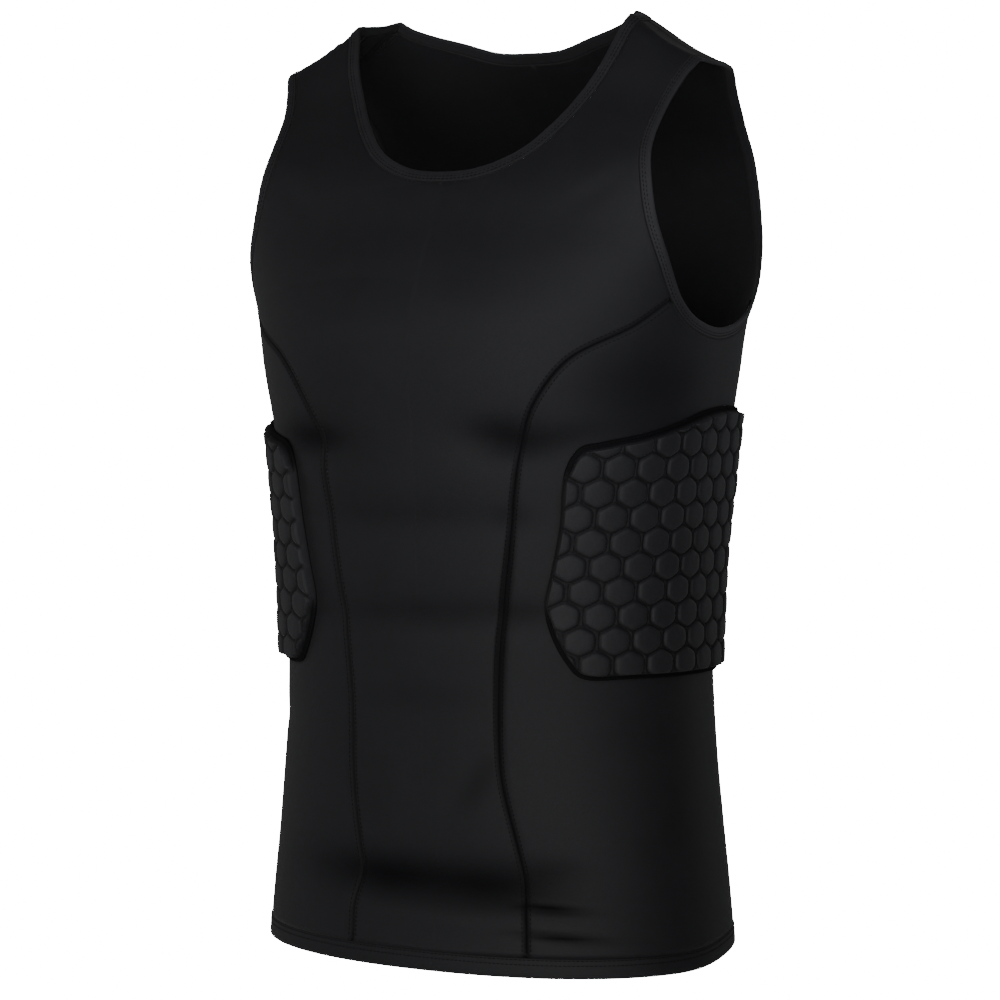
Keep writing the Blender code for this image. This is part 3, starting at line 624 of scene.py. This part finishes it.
def band(name, loop, width, proud=BAND_PROUD, thickness=BAND_THICKNESS, mirror=False):
    """Point = beside(loop, distance) moved out by the rise, for each pair of the section."""
    profile = binding_profile(width, proud, thickness)
    distances, index = np.unique(profile[:, 0].round(7), return_inverse=True)
    lines = np.stack([loop if d == 0 else beside(loop, -d) for d in distances])
    along = length_along(np.concatenate([loop, loop[:1]]))
    ripple = RIPPLE * np.sin(2 * np.pi * along[:-1] / RIPPLE_LENGTH) * (profile[:, 1] > 0)[:, None]
    points = cloth(lines[index.ravel()], profile[:, 1][:, None] + ripple)
    if mirror:
        points = mirrored(points)[:, ::-1]
    rows, columns = points.shape[:2]
    faces = grid_quads(rows, columns, wrap=(1, 1))
    over = length_along(profile[:, :1])[:, None]
    uv = np.stack(np.broadcast_arrays(along[None, :-1], over), -1).reshape(-1, 2)
    # Painted shade along the strip's meeting edge with the panel.
    near = np.repeat(BAND_SHADE * np.exp(-((width - profile[:, 0]) / MEETING_SHADOW)**2), columns)
    return report(add_mesh(name, points.reshape(-1, 3), faces[:, ::-1], uv, near))


neck_band = band("neck_binding", neck, NECK_BAND)
arm_band_left = band("armhole_binding_left", arm, ARM_BAND)
arm_band_right = band("armhole_binding_right", arm, ARM_BAND, mirror=True)

foot = np.concatenate([front_half[-1], side[-1, 1:-1], back_half[-1, ::-1]])
foot = np.concatenate([foot, mirrored(foot)[-2:0:-1]])
foot = even(np.concatenate([foot, foot[:1]]), HEM_POINTS)[:-1]
hem_line = level_ring(foot, HEM)
hem_band = band("turned_hem", hem_line[::-1], HEM_BAND, HEM_PROUD, HEM_THICKNESS)

# %% [markdown]
# ## Rib pads
# Each pad is moulded foam under a thin knit: rounded six-sided cells in staggered rows, on a thin
# rim that is stitched down over the side panel. It is drawn flat first, as a maker would cut it, by
# distance forward of the side line and by height. The relief is a height field over that flat plan:
# a rim, a step, and for each cell a dome whose edge is a softened hexagon. The flat plan is then
# wrapped round the figure.

# %% Plan and relief of a pad
# The outline's points: forward of the side line and up, in millimetres.
PAD_OUTLINE = metres(
    (123, -304), (131, -318), (131, -360), (134, -390), (137, -413), (132, -432), (120, -453),
    (110, -462.5), (70, -464), (15, -465), (-40, -466), (-64, -464), (-73, -452), (-74, -400),
    (-74, -340), (-73, -292), (-64, -280), (-40, -277), (-12, -277), (16, -280), (45, -287), (75, -294),
    (108, -300)
)
TOP_FRONT, FOOT_FRONT, FOOT_REAR, TOP_REAR = 0, 7, 11, 16
PAD_SEAT, PAD_FLANGE, PAD_WEB, PAD_TOP = 0.0005, 0.0020, 0.0066, 0.0081
RIM_WIDTH, FRONT_RIM, RIM_STEP, RIM_ROUND = 0.0029, 0.0008, 0.0014, 0.0008
# Painted shade on the pad: dark round the rim, less at the front rim, and on the web and in the grooves.
RIM_SHADE, FRONT_SHADE, WEB_AT, WEB_STEP, WEB_SHADE = 0.84, 0.45, 0.98, 0.08, 0.42
RIM_FOOT, RIM_POINTS = 0.35, 300
FRONT_EDGE, FRONT_TOP, FRONT_FOOT = 0.112, -0.318, -0.425
EDGE_FADE, TOP_FADE, FOOT_FADE = 0.008, 0.010, 0.014
CELL_PITCH, ROW_PITCH, CELL_LEAN = 0.0239, 0.0170, 0.045
CELL_HALF_WIDTH, CELL_HALF_HEIGHT = 0.0103, 0.0092
FIRST_CELL, SINE_60 = (0.0236, -0.3174), 0.866
CELL_SOFT, DOME_FLAT, DOME_EDGE = 9, 3.6, 0.60
GROOVE_DEPTH, GROOVE_AT, GROOVE_WIDTH, GROOVE_SHADE = 0.0013, 1.05, 0.065, 0.55
SIDE_REACH, SIDE_TURNS = 125, 250
PAD_COLUMNS, PAD_ROWS, BACK_SHARE = 252, 210, 3


def pad_plan():
    """Flat grid of a pad: its four borders blended as top + foot + rear + front - corners."""
    count = len(PAD_OUTLINE)
    top = closed_spline(PAD_OUTLINE, TOP_REAR, count + TOP_FRONT, PAD_COLUMNS)
    front = closed_spline(PAD_OUTLINE, TOP_FRONT, FOOT_FRONT, PAD_ROWS)
    below = closed_spline(PAD_OUTLINE, FOOT_FRONT, FOOT_REAR, PAD_COLUMNS)[::-1]
    rear = closed_spline(PAD_OUTLINE, FOOT_REAR, TOP_REAR, PAD_ROWS)[::-1]
    u = np.linspace(0, 1, PAD_COLUMNS + 1)[None, :, None]
    v = np.linspace(0, 1, PAD_ROWS + 1)[:, None, None]
    corners = ((1 - u) * (1 - v) * top[0] + u * (1 - v) * top[-1]
               + (1 - u) * v * below[0] + u * v * below[-1])
    return (1 - v) * top + v * below + (1 - u) * rear[:, None] + u * front[:, None] - corners


def plan_border(grid):
    """The border points of a grid, once round."""
    return np.concatenate([grid[0, :-1], grid[:-1, -1], grid[-1, :0:-1], grid[:0:-1, 0]])


def cell_edge(flat):
    """Softened six-sided distance to the nearest cell's centre, 1 at the cell's edge: the p-norm of the
    distances along three directions 60 degrees apart."""
    x, z = flat[..., 0] - FIRST_CELL[0], flat[..., 1] - FIRST_CELL[1]
    nearest = np.full(x.shape, np.inf)
    for step in (-1, 0, 1):
        row = np.round(z / ROW_PITCH) + step
        start = 0.5 * CELL_PITCH * (row % 2) - CELL_LEAN * row * ROW_PITCH
        across = x - start - np.round((x - start) / CELL_PITCH) * CELL_PITCH
        up = z - row * ROW_PITCH
        level_way, slant = across / CELL_HALF_WIDTH, SINE_60 * up / CELL_HALF_HEIGHT
        half = 0.5 * level_way
        total = sum(np.abs(way)**CELL_SOFT for way in (level_way, half + slant, half - slant))
        nearest = np.minimum(nearest, total**(1 / CELL_SOFT))
    return nearest


def pad_relief(flat, border):
    """Rise over the seat: a rounded rim, a steep step up to the web, domes (1 - q^n)^m on it, and a narrow
    groove round each dome, a bell of q. Also the painted shade at each point: in the rim, on the web and
    in the grooves."""
    inside = gap_to(flat, border)
    edge = cell_edge(flat)
    front = (smooth_step((flat[..., 0] - FRONT_EDGE) / EDGE_FADE)
             * smooth_step((flat[..., 1] - FRONT_FOOT) / FOOT_FADE)
             * smooth_step((FRONT_TOP - flat[..., 1]) / TOP_FADE))
    rim = RIM_WIDTH + (FRONT_RIM - RIM_WIDTH) * front
    past_rim = smooth_step((inside - rim) / RIM_STEP)
    dome = (1 - np.minimum(edge, 1)**DOME_FLAT)**DOME_EDGE
    groove = np.exp(-((edge - GROOVE_AT) / GROOVE_WIDTH)**2)
    round_edge = np.sqrt(np.clip(1 - (1 - np.clip(inside / RIM_ROUND, 0, 1))**2, 0, 1))
    top = PAD_WEB + (PAD_TOP - PAD_WEB) * dome - GROOVE_DEPTH * groove
    rise = PAD_FLANGE * (RIM_FOOT + (1 - RIM_FOOT) * round_edge) + past_rim * (top - PAD_FLANGE)
    web = WEB_SHADE * smooth_step((edge - WEB_AT) / WEB_STEP)
    rim_shade = (RIM_SHADE + (FRONT_SHADE - RIM_SHADE) * front) * (1 - past_rim)
    return rise, np.maximum(rim_shade, np.maximum(GROOVE_SHADE * groove, web) * past_rim)


def on_side(flat):
    """Figure points for flat points: the arc length round the level section, forward of the side line."""
    turn = np.radians(np.linspace(-SIDE_REACH, SIDE_REACH, SIDE_TURNS + 1))
    forward, height = flat[:, :1], flat[:, 1:]
    x, y = np.cos(turn), -np.sin(turn)
    ratio = section_ratio(x, y, height)
    x, y = x / ratio, y / ratio
    step = np.hypot(np.diff(x, axis=1), np.diff(y, axis=1))
    arc = np.concatenate([np.zeros_like(height), np.cumsum(step, axis=1)], axis=1)
    arc -= arc[:, SIDE_TURNS // 2][:, None]
    i = np.clip((arc < forward).sum(axis=1) - 1, 0, SIDE_TURNS - 1)
    row = np.arange(len(flat))
    share = (forward[:, 0] - arc[row, i]) / (arc[row, i + 1] - arc[row, i])
    place = [x[row, i] + share * (x[row, i + 1] - x[row, i]),
             y[row, i] + share * (y[row, i + 1] - y[row, i]), height[:, 0]]
    return settle(np.stack(place, -1))


plan = pad_plan()
pad_border = plan_border(plan)
pad_rise, pad_shade = pad_relief(plan, pad_border)
pad_points = on_side(plan.reshape(-1, 2)).reshape(plan.shape[:2] + (3,))


def rib_pad(name, mirror):
    """Foam pad: outer face at the relief, a plain back on every third line of the grid, and a rim of
    six-sided faces that join three outer steps to one of the back."""
    points, rise, shade, flat = pad_points, pad_rise, pad_shade, plan
    if mirror:
        points, rise, shade, flat = mirrored(points)[:, ::-1], rise[:, ::-1], shade[:, ::-1], flat[:, ::-1]
    outer = cloth(points) + outward(points) * (PAD_SEAT + rise)[..., None]
    thin = points[::BACK_SHARE, ::BACK_SHARE]
    seat = cloth(thin, PAD_SEAT)
    rows, columns = rise.shape
    count = rows * columns
    back = np.arange(thin.shape[0] * thin.shape[1]).reshape(thin.shape[:2]) + count
    faces = np.concatenate([grid_quads(rows, columns), numbered_quads(back)[:, ::-1]])
    fine, coarse = plan_border(np.arange(count).reshape(rows, columns)), plan_border(back)
    steps = fine.reshape(-1, BACK_SHARE)
    ends = np.roll(steps[:, :1], -1, axis=0)
    rim = np.concatenate([steps, ends, np.roll(coarse, -1)[:, None], coarse[:, None]], axis=1)
    vertices = np.concatenate([outer.reshape(-1, 3), seat.reshape(-1, 3)])
    uv = np.concatenate([flat.reshape(-1, 2), flat[::BACK_SHARE, ::BACK_SHARE].reshape(-1, 2)])
    near = np.concatenate([shade.ravel(), shade[::BACK_SHARE, ::BACK_SHARE].ravel()])
    return report(add_mesh(name, vertices, faces, uv, near, rim))


pad_left, pad_right = rib_pad("foam_pad_left", False), rib_pad("foam_pad_right", True)

# %% [markdown]
# ## Stitches
# The bindings and the hem are held by two rows of stitches, the seams by one row on each side, and the
# pads by one row round the rim. Every stitch is a short thread: a six-sided tube, thick in the
# middle, that dives into the cloth at both ends. All stitches of a piece are computed at once, from
# their centres, the way the row runs and the way the cloth faces.

# %% Rows of thread
THREAD = 0.00026
STITCH_PITCH, STITCH_LENGTH = 0.0031, 0.0024
STATION = np.array([-0.5, -0.32, 0.0, 0.32, 0.5])
STATION_LIFT = np.array([-0.8, 0.25, 0.55, 0.25, -0.8])
STATION_WIDTH = np.array([0.45, 1.0, 1.0, 1.0, 0.45])


def stitch_row(points, rise, closed, mirror):
    """Centres, directions and normals of stitches along a row of figure points, at a rise over the cloth."""
    if mirror:
        points = mirrored(points)
    points, normals = cloth(points, rise), outward(turned(points))
    if closed:
        points, normals = (np.concatenate([a, a[:1]]) for a in (points, normals))
    along = length_along(points)
    count = int(along[-1] / STITCH_PITCH)
    middle = (np.arange(count) + 0.5) * along[-1] / count
    start, centre, end = (at_lengths(points, middle + step * STITCH_LENGTH) for step in (-0.25, 0, 0.25))
    normal = np.stack([np.interp(middle, along, normals[:, k]) for k in range(3)], -1)
    ahead = end - start
    ahead /= np.linalg.norm(ahead, axis=1, keepdims=True)
    normal -= (normal * ahead).sum(1, keepdims=True) * ahead
    return centre, ahead, normal / np.linalg.norm(normal, axis=1, keepdims=True)


def stitching(name, rows, mirror=False):
    """Tubes: centre + ahead * station + normal * lift + ring, for every stitch of every row."""
    centre, ahead, normal = (np.concatenate(a) for a in zip(*[stitch_row(*row, mirror) for row in rows]))
    aside = np.cross(ahead, normal)
    turn = np.radians(np.arange(0, 360, 60))
    spine = (centre[:, None] + ahead[:, None] * (STATION * STITCH_LENGTH)[None, :, None]
             + normal[:, None] * (STATION_LIFT * THREAD)[None, :, None])
    cosine, sine = np.cos(turn)[None, :, None], np.sin(turn)[None, :, None]
    ring = (aside[:, None] * cosine + normal[:, None] * sine) * THREAD
    points = spine[:, :, None] + ring[:, None] * STATION_WIDTH[None, :, None, None]
    stations, sides = len(STATION), len(turn)
    one = grid_quads(stations, sides, wrap=(0, 1))
    caps = np.array([[0, 1, 2, 3], [0, 3, 4, 5]])
    one = np.concatenate([one, caps[:, ::-1], caps + (stations - 1) * sides])
    faces = (one[None] + np.arange(len(centre))[:, None, None] * stations * sides).reshape(-1, 4)
    uv = np.zeros((len(centre) * stations * sides, 2))
    return report(add_mesh(name, points.reshape(-1, 3), faces, uv))


def on_band(loop, distance, rise):
    """A row of points on a binding, and its rise."""
    return beside(loop, -distance), rise, True


def by_seam(line, distance):
    """A row of points on the panel beside a seam, and how far the rolled edge drops there."""
    roll = SEAM_ROLL * np.exp(-(distance / SEAM_WIDTH)**2)
    return beside(line, distance, closed=False)[1:-1], -roll, False


SEAM_STITCH = 0.0030
BAND_ROWS, BAND_THREAD = (0.74, 0.50), 0.00045
HEM_ROWS, HEM_THREAD = (0.0125, 0.0092), 0.00035
SIDES = (("left", False), ("right", True))


def pair(name, rows):
    """The same rows on both sides of the shirt."""
    return [stitching(f"{name}_{side_name}", rows, mirror) for side_name, mirror in SIDES]


neck_stitches = stitching("neck_stitches", [on_band(neck, f * NECK_BAND, BAND_THREAD) for f in BAND_ROWS])
arm_stitches = pair("armhole_stitches", [on_band(arm, f * ARM_BAND, BAND_THREAD) for f in BAND_ROWS])
hem_stitches = stitching("hem_stitches", [on_band(hem_line[::-1], d, HEM_THREAD) for d in HEM_ROWS])
seam_rows = [by_seam(line, way * SEAM_STITCH) for line in (front_seam, back_seam) for way in (-1, 1)]
seam_stitches = pair("seam_stitches", seam_rows)

rim_path = even(np.concatenate([pad_border, pad_border[:1]]), RIM_POINTS)[:-1]
rim_ahead = np.roll(rim_path, -1, axis=0) - np.roll(rim_path, 1, axis=0)
rim_ahead /= np.linalg.norm(rim_ahead, axis=1, keepdims=True)
rim_path = rim_path + 0.5 * RIM_WIDTH * np.stack([rim_ahead[:, 1], -rim_ahead[:, 0]], -1)
pad_stitches = pair("pad_stitches", [(on_side(rim_path), PAD_SEAT + PAD_FLANGE, True)])

# %% [markdown]
# ## Shader maths
# The finishes are small formulas over the cloth. A wrapped socket lets them be written as Python
# expressions: adding or multiplying two of them adds the Math node that does it.

# %% A socket that can be calculated with
class Value:
    """A number that varies over the surface; operators add Math nodes."""

    def __init__(self, finish, socket):
        self.finish, self.socket = finish, socket

    def math(self, operation, *others):
        values = [self] + list(others)
        return self.finish.node("ShaderNodeMath", {"operation": operation}, dict(enumerate(values)))

    def __add__(self, other):
        return self.math("ADD", other)

    def __sub__(self, other):
        return self.math("SUBTRACT", other)

    def __mul__(self, other):
        return self.math("MULTIPLY", other)

    def sin(self):
        return self.math("SINE")

    def abs(self):
        return self.math("ABSOLUTE")


SHEEN_ROUGHNESS, PAINTED_SHADE_ROUGHNESS, PAINTED_SHADE_SPECULAR = 0.45, 0.9, 0.08


class Finish:
    """A material being built: node() adds any node, sets it, fills its sockets and returns an output."""

    def __init__(self, name, roughness, sheen, specular):
        self.material = bpy.data.materials.new(name)
        self.material.use_nodes = True
        self.tree = self.material.node_tree
        self.shader = self.tree.nodes["Principled BSDF"]
        for key, value in {"Roughness": roughness, "Sheen Weight": sheen, "Sheen Roughness": SHEEN_ROUGHNESS,
                           "Specular IOR Level": specular}.items():
            self.surface(key, value)

    def put(self, socket, value):
        if isinstance(value, Value):
            self.tree.links.new(value.socket, socket)
        elif value is not None:
            socket.default_value = value

    def node(self, kind, settings=None, inputs=None, output=0):
        made = self.tree.nodes.new(kind)
        for key, value in (settings or {}).items():
            setattr(made, key, value)
        for key, value in (inputs or {}).items():
            self.put(made.inputs[key], value)
        return Value(self, made.outputs[output])

    def surface(self, key, value):
        self.put(self.shader.inputs[key], value)

    def shadow(self, share, colour):
        """Painted shade: mixes in a dark, matt cloth without sheen, by share."""
        shade_cloth = self.node("ShaderNodeBsdfPrincipled", None, {
            "Base Color": (*colour, 1), "Roughness": PAINTED_SHADE_ROUGHNESS, "Specular IOR Level": PAINTED_SHADE_SPECULAR})
        bright = Value(self, self.shader.outputs[0])
        mix = self.node("ShaderNodeMixShader", None, {0: share, 1: bright, 2: shade_cloth})
        self.put(self.tree.nodes["Material Output"].inputs["Surface"], mix)


# %% [markdown]
# ## Finishes
# The panels are a fine black warp knit. Close to, it is rows of tiny upright loops; from a step away it
# is a dull black with a faint, uneven bloom. The loops are a wave across the cloth times another
# down it, in the piece's own UV metres, used for a slight bump and an even slighter change of colour.
# Towards a seam, in the folds' hollows and along a binding's meeting edge, painted shade darkens the
# cloth. The bindings are the same knit turned the other way, in a lighter colour that is partly their
# own tone and partly a painted highlight. The pads have a coarser face, and painted shade darkens their
# stitched rim, the web and the grooves between the cells.

# %% Knit, binding, pad and thread
FULL_TURN = 2 * np.pi
CLOUD = {"Scale": 18.0, "Detail": 5.0, "Roughness": 0.65}
GRAIN = {"Scale": 900.0, "Detail": 2.0}
CLOUD_LIGHT, GRAIN_LIGHT, LOOP_LIGHT, PLAIN_LIGHT = 0.80, 0.25, 0.10, 0.86
CLOUD_ROUGH, LOOP_ROUGH = 0.12, 0.02
LOOP_HEIGHT, GRAIN_HEIGHT, BUMP_DISTANCE = 0.6, 0.8, 0.00018
COURSE_SHARE = 0.33


def knit(name, colour, dark, wale, course, roughness, sheen, specular, bump):
    """Loops = |sin(u)| + sin(v) / 3 on the UV metres; colour = mix(dark, colour) by noise and loops; and
    the whole is mixed with the dark cloth by the painted shade: at seams, in fold hollows, along binding
    edges and in the pads' rims and grooves."""
    finish = Finish(name, roughness, sheen, specular)
    uv = finish.node("ShaderNodeUVMap", {"uv_map": "cloth"})
    split = finish.node("ShaderNodeSeparateXYZ", None, {0: uv})
    v = Value(finish, split.socket.node.outputs[1])
    loops = (split * (FULL_TURN / wale / 2)).sin().abs() + (v * (FULL_TURN / course)).sin() * COURSE_SHARE
    place = finish.node("ShaderNodeTexCoord", output=3)
    cloudy = finish.node("ShaderNodeTexNoise", None, {"Vector": place, **CLOUD})
    fine = finish.node("ShaderNodeTexNoise", None, {"Vector": place, **GRAIN})
    # Painted shade, read from the mesh points.
    near = finish.node("ShaderNodeAttribute", {"attribute_name": "painted_shade"}, output=2)
    light = (cloudy - 0.5) * CLOUD_LIGHT + (fine - 0.5) * GRAIN_LIGHT + loops * LOOP_LIGHT + PLAIN_LIGHT
    mixed = finish.node("ShaderNodeMix", {"data_type": "RGBA", "clamp_factor": True},
                        {0: light, 6: (*dark, 1), 7: (*colour, 1)}, output=2)
    rough = (cloudy - 0.5) * CLOUD_ROUGH + (roughness - LOOP_ROUGH) + loops * LOOP_ROUGH
    height = loops * LOOP_HEIGHT + fine * GRAIN_HEIGHT
    bumped = finish.node("ShaderNodeBump", None,
                         {"Strength": bump, "Distance": BUMP_DISTANCE, "Height": height})
    finish.surface("Base Color", mixed)
    finish.surface("Roughness", rough)
    finish.surface("Normal", bumped)
    finish.shadow(near, dark)
    return finish.material


KNIT = knit("black_knit", (0.0155, 0.0155, 0.0186), (0.0030, 0.0030, 0.0038),
            0.00062, 0.00050, 0.62, 0.10, 0.40, 0.35)
# The bindings' lighter colour is partly their own tone and partly a painted highlight for the light their
# rounded upper edge catches.
BINDING_TONE_AND_PAINTED_HIGHLIGHT = knit("black_binding_tone_and_painted_highlight", (0.0300, 0.0300, 0.0340), (0.0035, 0.0035, 0.0042),
               0.00050, 0.00062, 0.60, 0.12, 0.40, 0.35)
PAD = knit("black_pad_face", (0.0235, 0.0235, 0.0268), (0.0040, 0.0040, 0.0050),
           0.00080, 0.00070, 0.58, 0.10, 0.42, 0.45)
THREAD_BLACK = knit("black_thread", (0.0080, 0.0080, 0.0090), (0.0040, 0.0040, 0.0050),
                    0.0004, 0.0004, 0.65, 0.0, 0.20, 0.1)

# %% [markdown]
# ## Joining the frame
# Every piece rides on the one body, is given its finish, and stands for its imported solid, which is hidden.
# The size each panel was cut to, and its area, are printed.


def flat_size(grid, halves):
    """Greatest width and length of a panel, from its grid or its half grid, and its area, in metres."""
    width, length = halves * length_along(grid, 1)[:, -1].max(), length_along(grid)[-1].max()
    one, other = grid[1:, 1:] - grid[:-1, :-1], grid[1:, :-1] - grid[:-1, 1:]
    area = halves * np.linalg.norm(np.cross(one, other), axis=-1).sum() / 2
    return (round(float(width), 3), round(float(length), 3)), round(float(area), 4)


def dress(item, finish, slot, *nodes):
    """Material, body, slot and the solids that a piece stands for; slot is not used."""
    item.data.materials.clear()
    item.data.materials.append(finish)
    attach(item, "root")
    if nodes:
        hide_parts(*nodes)


for row in [(front_panel, KNIT, "knit", "front_panel"), (back_panel, KNIT, "knit", "back_panel"),
            (side_left, KNIT, "knit", "side_panel_left"), (side_right, KNIT, "knit", "side_panel_right"),
            (neck_band, BINDING_TONE_AND_PAINTED_HIGHLIGHT, "binding", "neck_band"), (hem_band, KNIT, "binding", "hem_band"),
            (arm_band_left, BINDING_TONE_AND_PAINTED_HIGHLIGHT, "binding", "armhole_band_left"),
            (arm_band_right, BINDING_TONE_AND_PAINTED_HIGHLIGHT, "binding", "armhole_band_right"),
            (pad_left, PAD, "pad", "rib_pad_left"), (pad_right, PAD, "pad", "rib_pad_right")]:
    dress(*row)
for item in [neck_stitches, *arm_stitches, hem_stitches, *seam_stitches, *pad_stitches]:
    dress(item, THREAD_BLACK, "binding")

panels = [(front_panel, front_half, 2, [neck_band, hem_band, neck_stitches, hem_stitches]),
          (back_panel, back_half, 2, [arm_band_left, arm_band_right, *arm_stitches]),
          (side_left, side, 1, seam_stitches[:1]), (side_right, side, 1, seam_stitches[1:])]
for item, grid, halves, others in panels:
    flat, area = flat_size(grid, halves)
    print(item.name, "cut", flat, "m, area", area, "m2")

# %% [markdown]
# ## Floor, light and camera
# The photograph is a plain studio shot on white. Two broad soft lights stand in front, one raised and
# one low by the camera, with weaker ones round the sides and behind, and a small one on the chest.
# Little shines from above, so the tops of the shoulders stay dark. The camera stands level with the ribs,
# 27 degrees round towards the wearer's left.

# %% Stage
FLOOR_HEIGHT, FLOOR_REACH = -1.35, 2.6
BACKDROP, ROOM = 24.0, 0.030
CAMERA_AZIMUTH, CAMERA_DISTANCE, CAMERA_HEIGHT = 27.0, 2.150, -0.232
LENS, PITCH, AIM_SIDE, ROLL = 106.3, 3.08, 0.0001, 0.35
MIDDLE, CHEST_LEFT = (0, 0, -0.34), (0.135, -0.075, -0.180)
FLOOR_CORNERS, FLOOR_TONE, FLOOR_ROUGH = 96, 0.9, 0.9
SENSOR, FAR = 36.0, 100.0


def place_light(name, azimuth, rise, distance, size, power, colour=(1, 1, 1), aim=MIDDLE, spread=180):
    """Area light on a sphere round its aim, rise degrees above the level, turned to face the aim."""
    data = bpy.data.lights.new(name, "AREA")
    data.shape, data.size, data.size_y, data.energy, data.color = "RECTANGLE", *size, power, colour
    data.spread = np.radians(spread)
    item = add_object(name, data)
    turn, lift = np.radians(azimuth), np.radians(rise)
    way = Vector((np.sin(turn) * np.cos(lift), -np.cos(turn) * np.cos(lift), np.sin(lift)))
    item.location = Vector(aim) + distance * way
    item.rotation_euler = (-way).to_track_quat("-Z", "Y").to_euler()


turn = np.linspace(0, FULL_TURN, FLOOR_CORNERS + 1)[:-1]
corners = np.stack([FLOOR_REACH * np.cos(turn), FLOOR_REACH * np.sin(turn), 0 * turn + FLOOR_HEIGHT], -1)
floor_mesh = bpy.data.meshes.new("studio_floor")
floor_mesh.from_pydata(corners.tolist(), [], [list(range(FLOOR_CORNERS))])
floor = add_object("studio_floor", floor_mesh)
pale = bpy.data.materials.new("pale_floor")
pale.use_nodes = True
pale_inputs = pale.node_tree.nodes["Principled BSDF"].inputs
pale_inputs["Base Color"].default_value = (FLOOR_TONE, FLOOR_TONE, FLOOR_TONE, 1)
pale_inputs["Roughness"].default_value = FLOOR_ROUGH
floor_mesh.materials.append(pale)

world = bpy.data.worlds.new("studio")
bpy.context.scene.world = world
world.use_nodes = True
nodes, links = world.node_tree.nodes, world.node_tree.links
seen, strength = nodes.new("ShaderNodeLightPath"), nodes.new("ShaderNodeMapRange")
strength.inputs["To Min"].default_value, strength.inputs["To Max"].default_value = ROOM, BACKDROP
links.new(seen.outputs["Is Camera Ray"], strength.inputs["Value"])
links.new(strength.outputs["Result"], nodes["Background"].inputs["Strength"])
nodes["Background"].inputs["Color"].default_value = (1, 1, 1, 1)

for row in [("front_light", -2, 20, 2.8, (2.8, 1.2), 18.5),
            ("fill_light", 26, -6, 2.8, (2.4, 1.6), 19),
            ("left_arm_light", 152, 4, 2.2, (0.7, 1.4), 1.2, (0.93, 0.95, 1.0)),
            ("back_light", 204, -14, 2.8, (1.6, 1.2), 7),
            ("right_arm_light", -84, 6, 2.4, (0.8, 1.5), 3.0, (0.95, 0.96, 1.0)),
            ("chest_light", 62, 34, 2.2, (0.3, 0.3), 0.06, (0.88, 0.90, 1.0), CHEST_LEFT, 9)]:
    place_light(*row)

turn = np.radians(CAMERA_AZIMUTH)
camera_data = bpy.data.cameras.new("studio_camera")
camera_data.lens, camera_data.sensor_width, camera_data.clip_end = LENS, SENSOR, FAR
camera = add_object("studio_camera", camera_data)
camera.location = (CAMERA_DISTANCE * np.sin(turn), -CAMERA_DISTANCE * np.cos(turn), CAMERA_HEIGHT)
drop = CAMERA_DISTANCE * np.tan(np.radians(PITCH))
aim = Vector((-AIM_SIDE * np.cos(turn), -AIM_SIDE * np.sin(turn), CAMERA_HEIGHT - drop))
level_view = (aim - camera.location).to_track_quat("-Z", "Y")
camera.rotation_euler = (level_view @ Quaternion((0, 0, 1), np.radians(ROLL))).to_euler()
bpy.context.scene.camera = camera
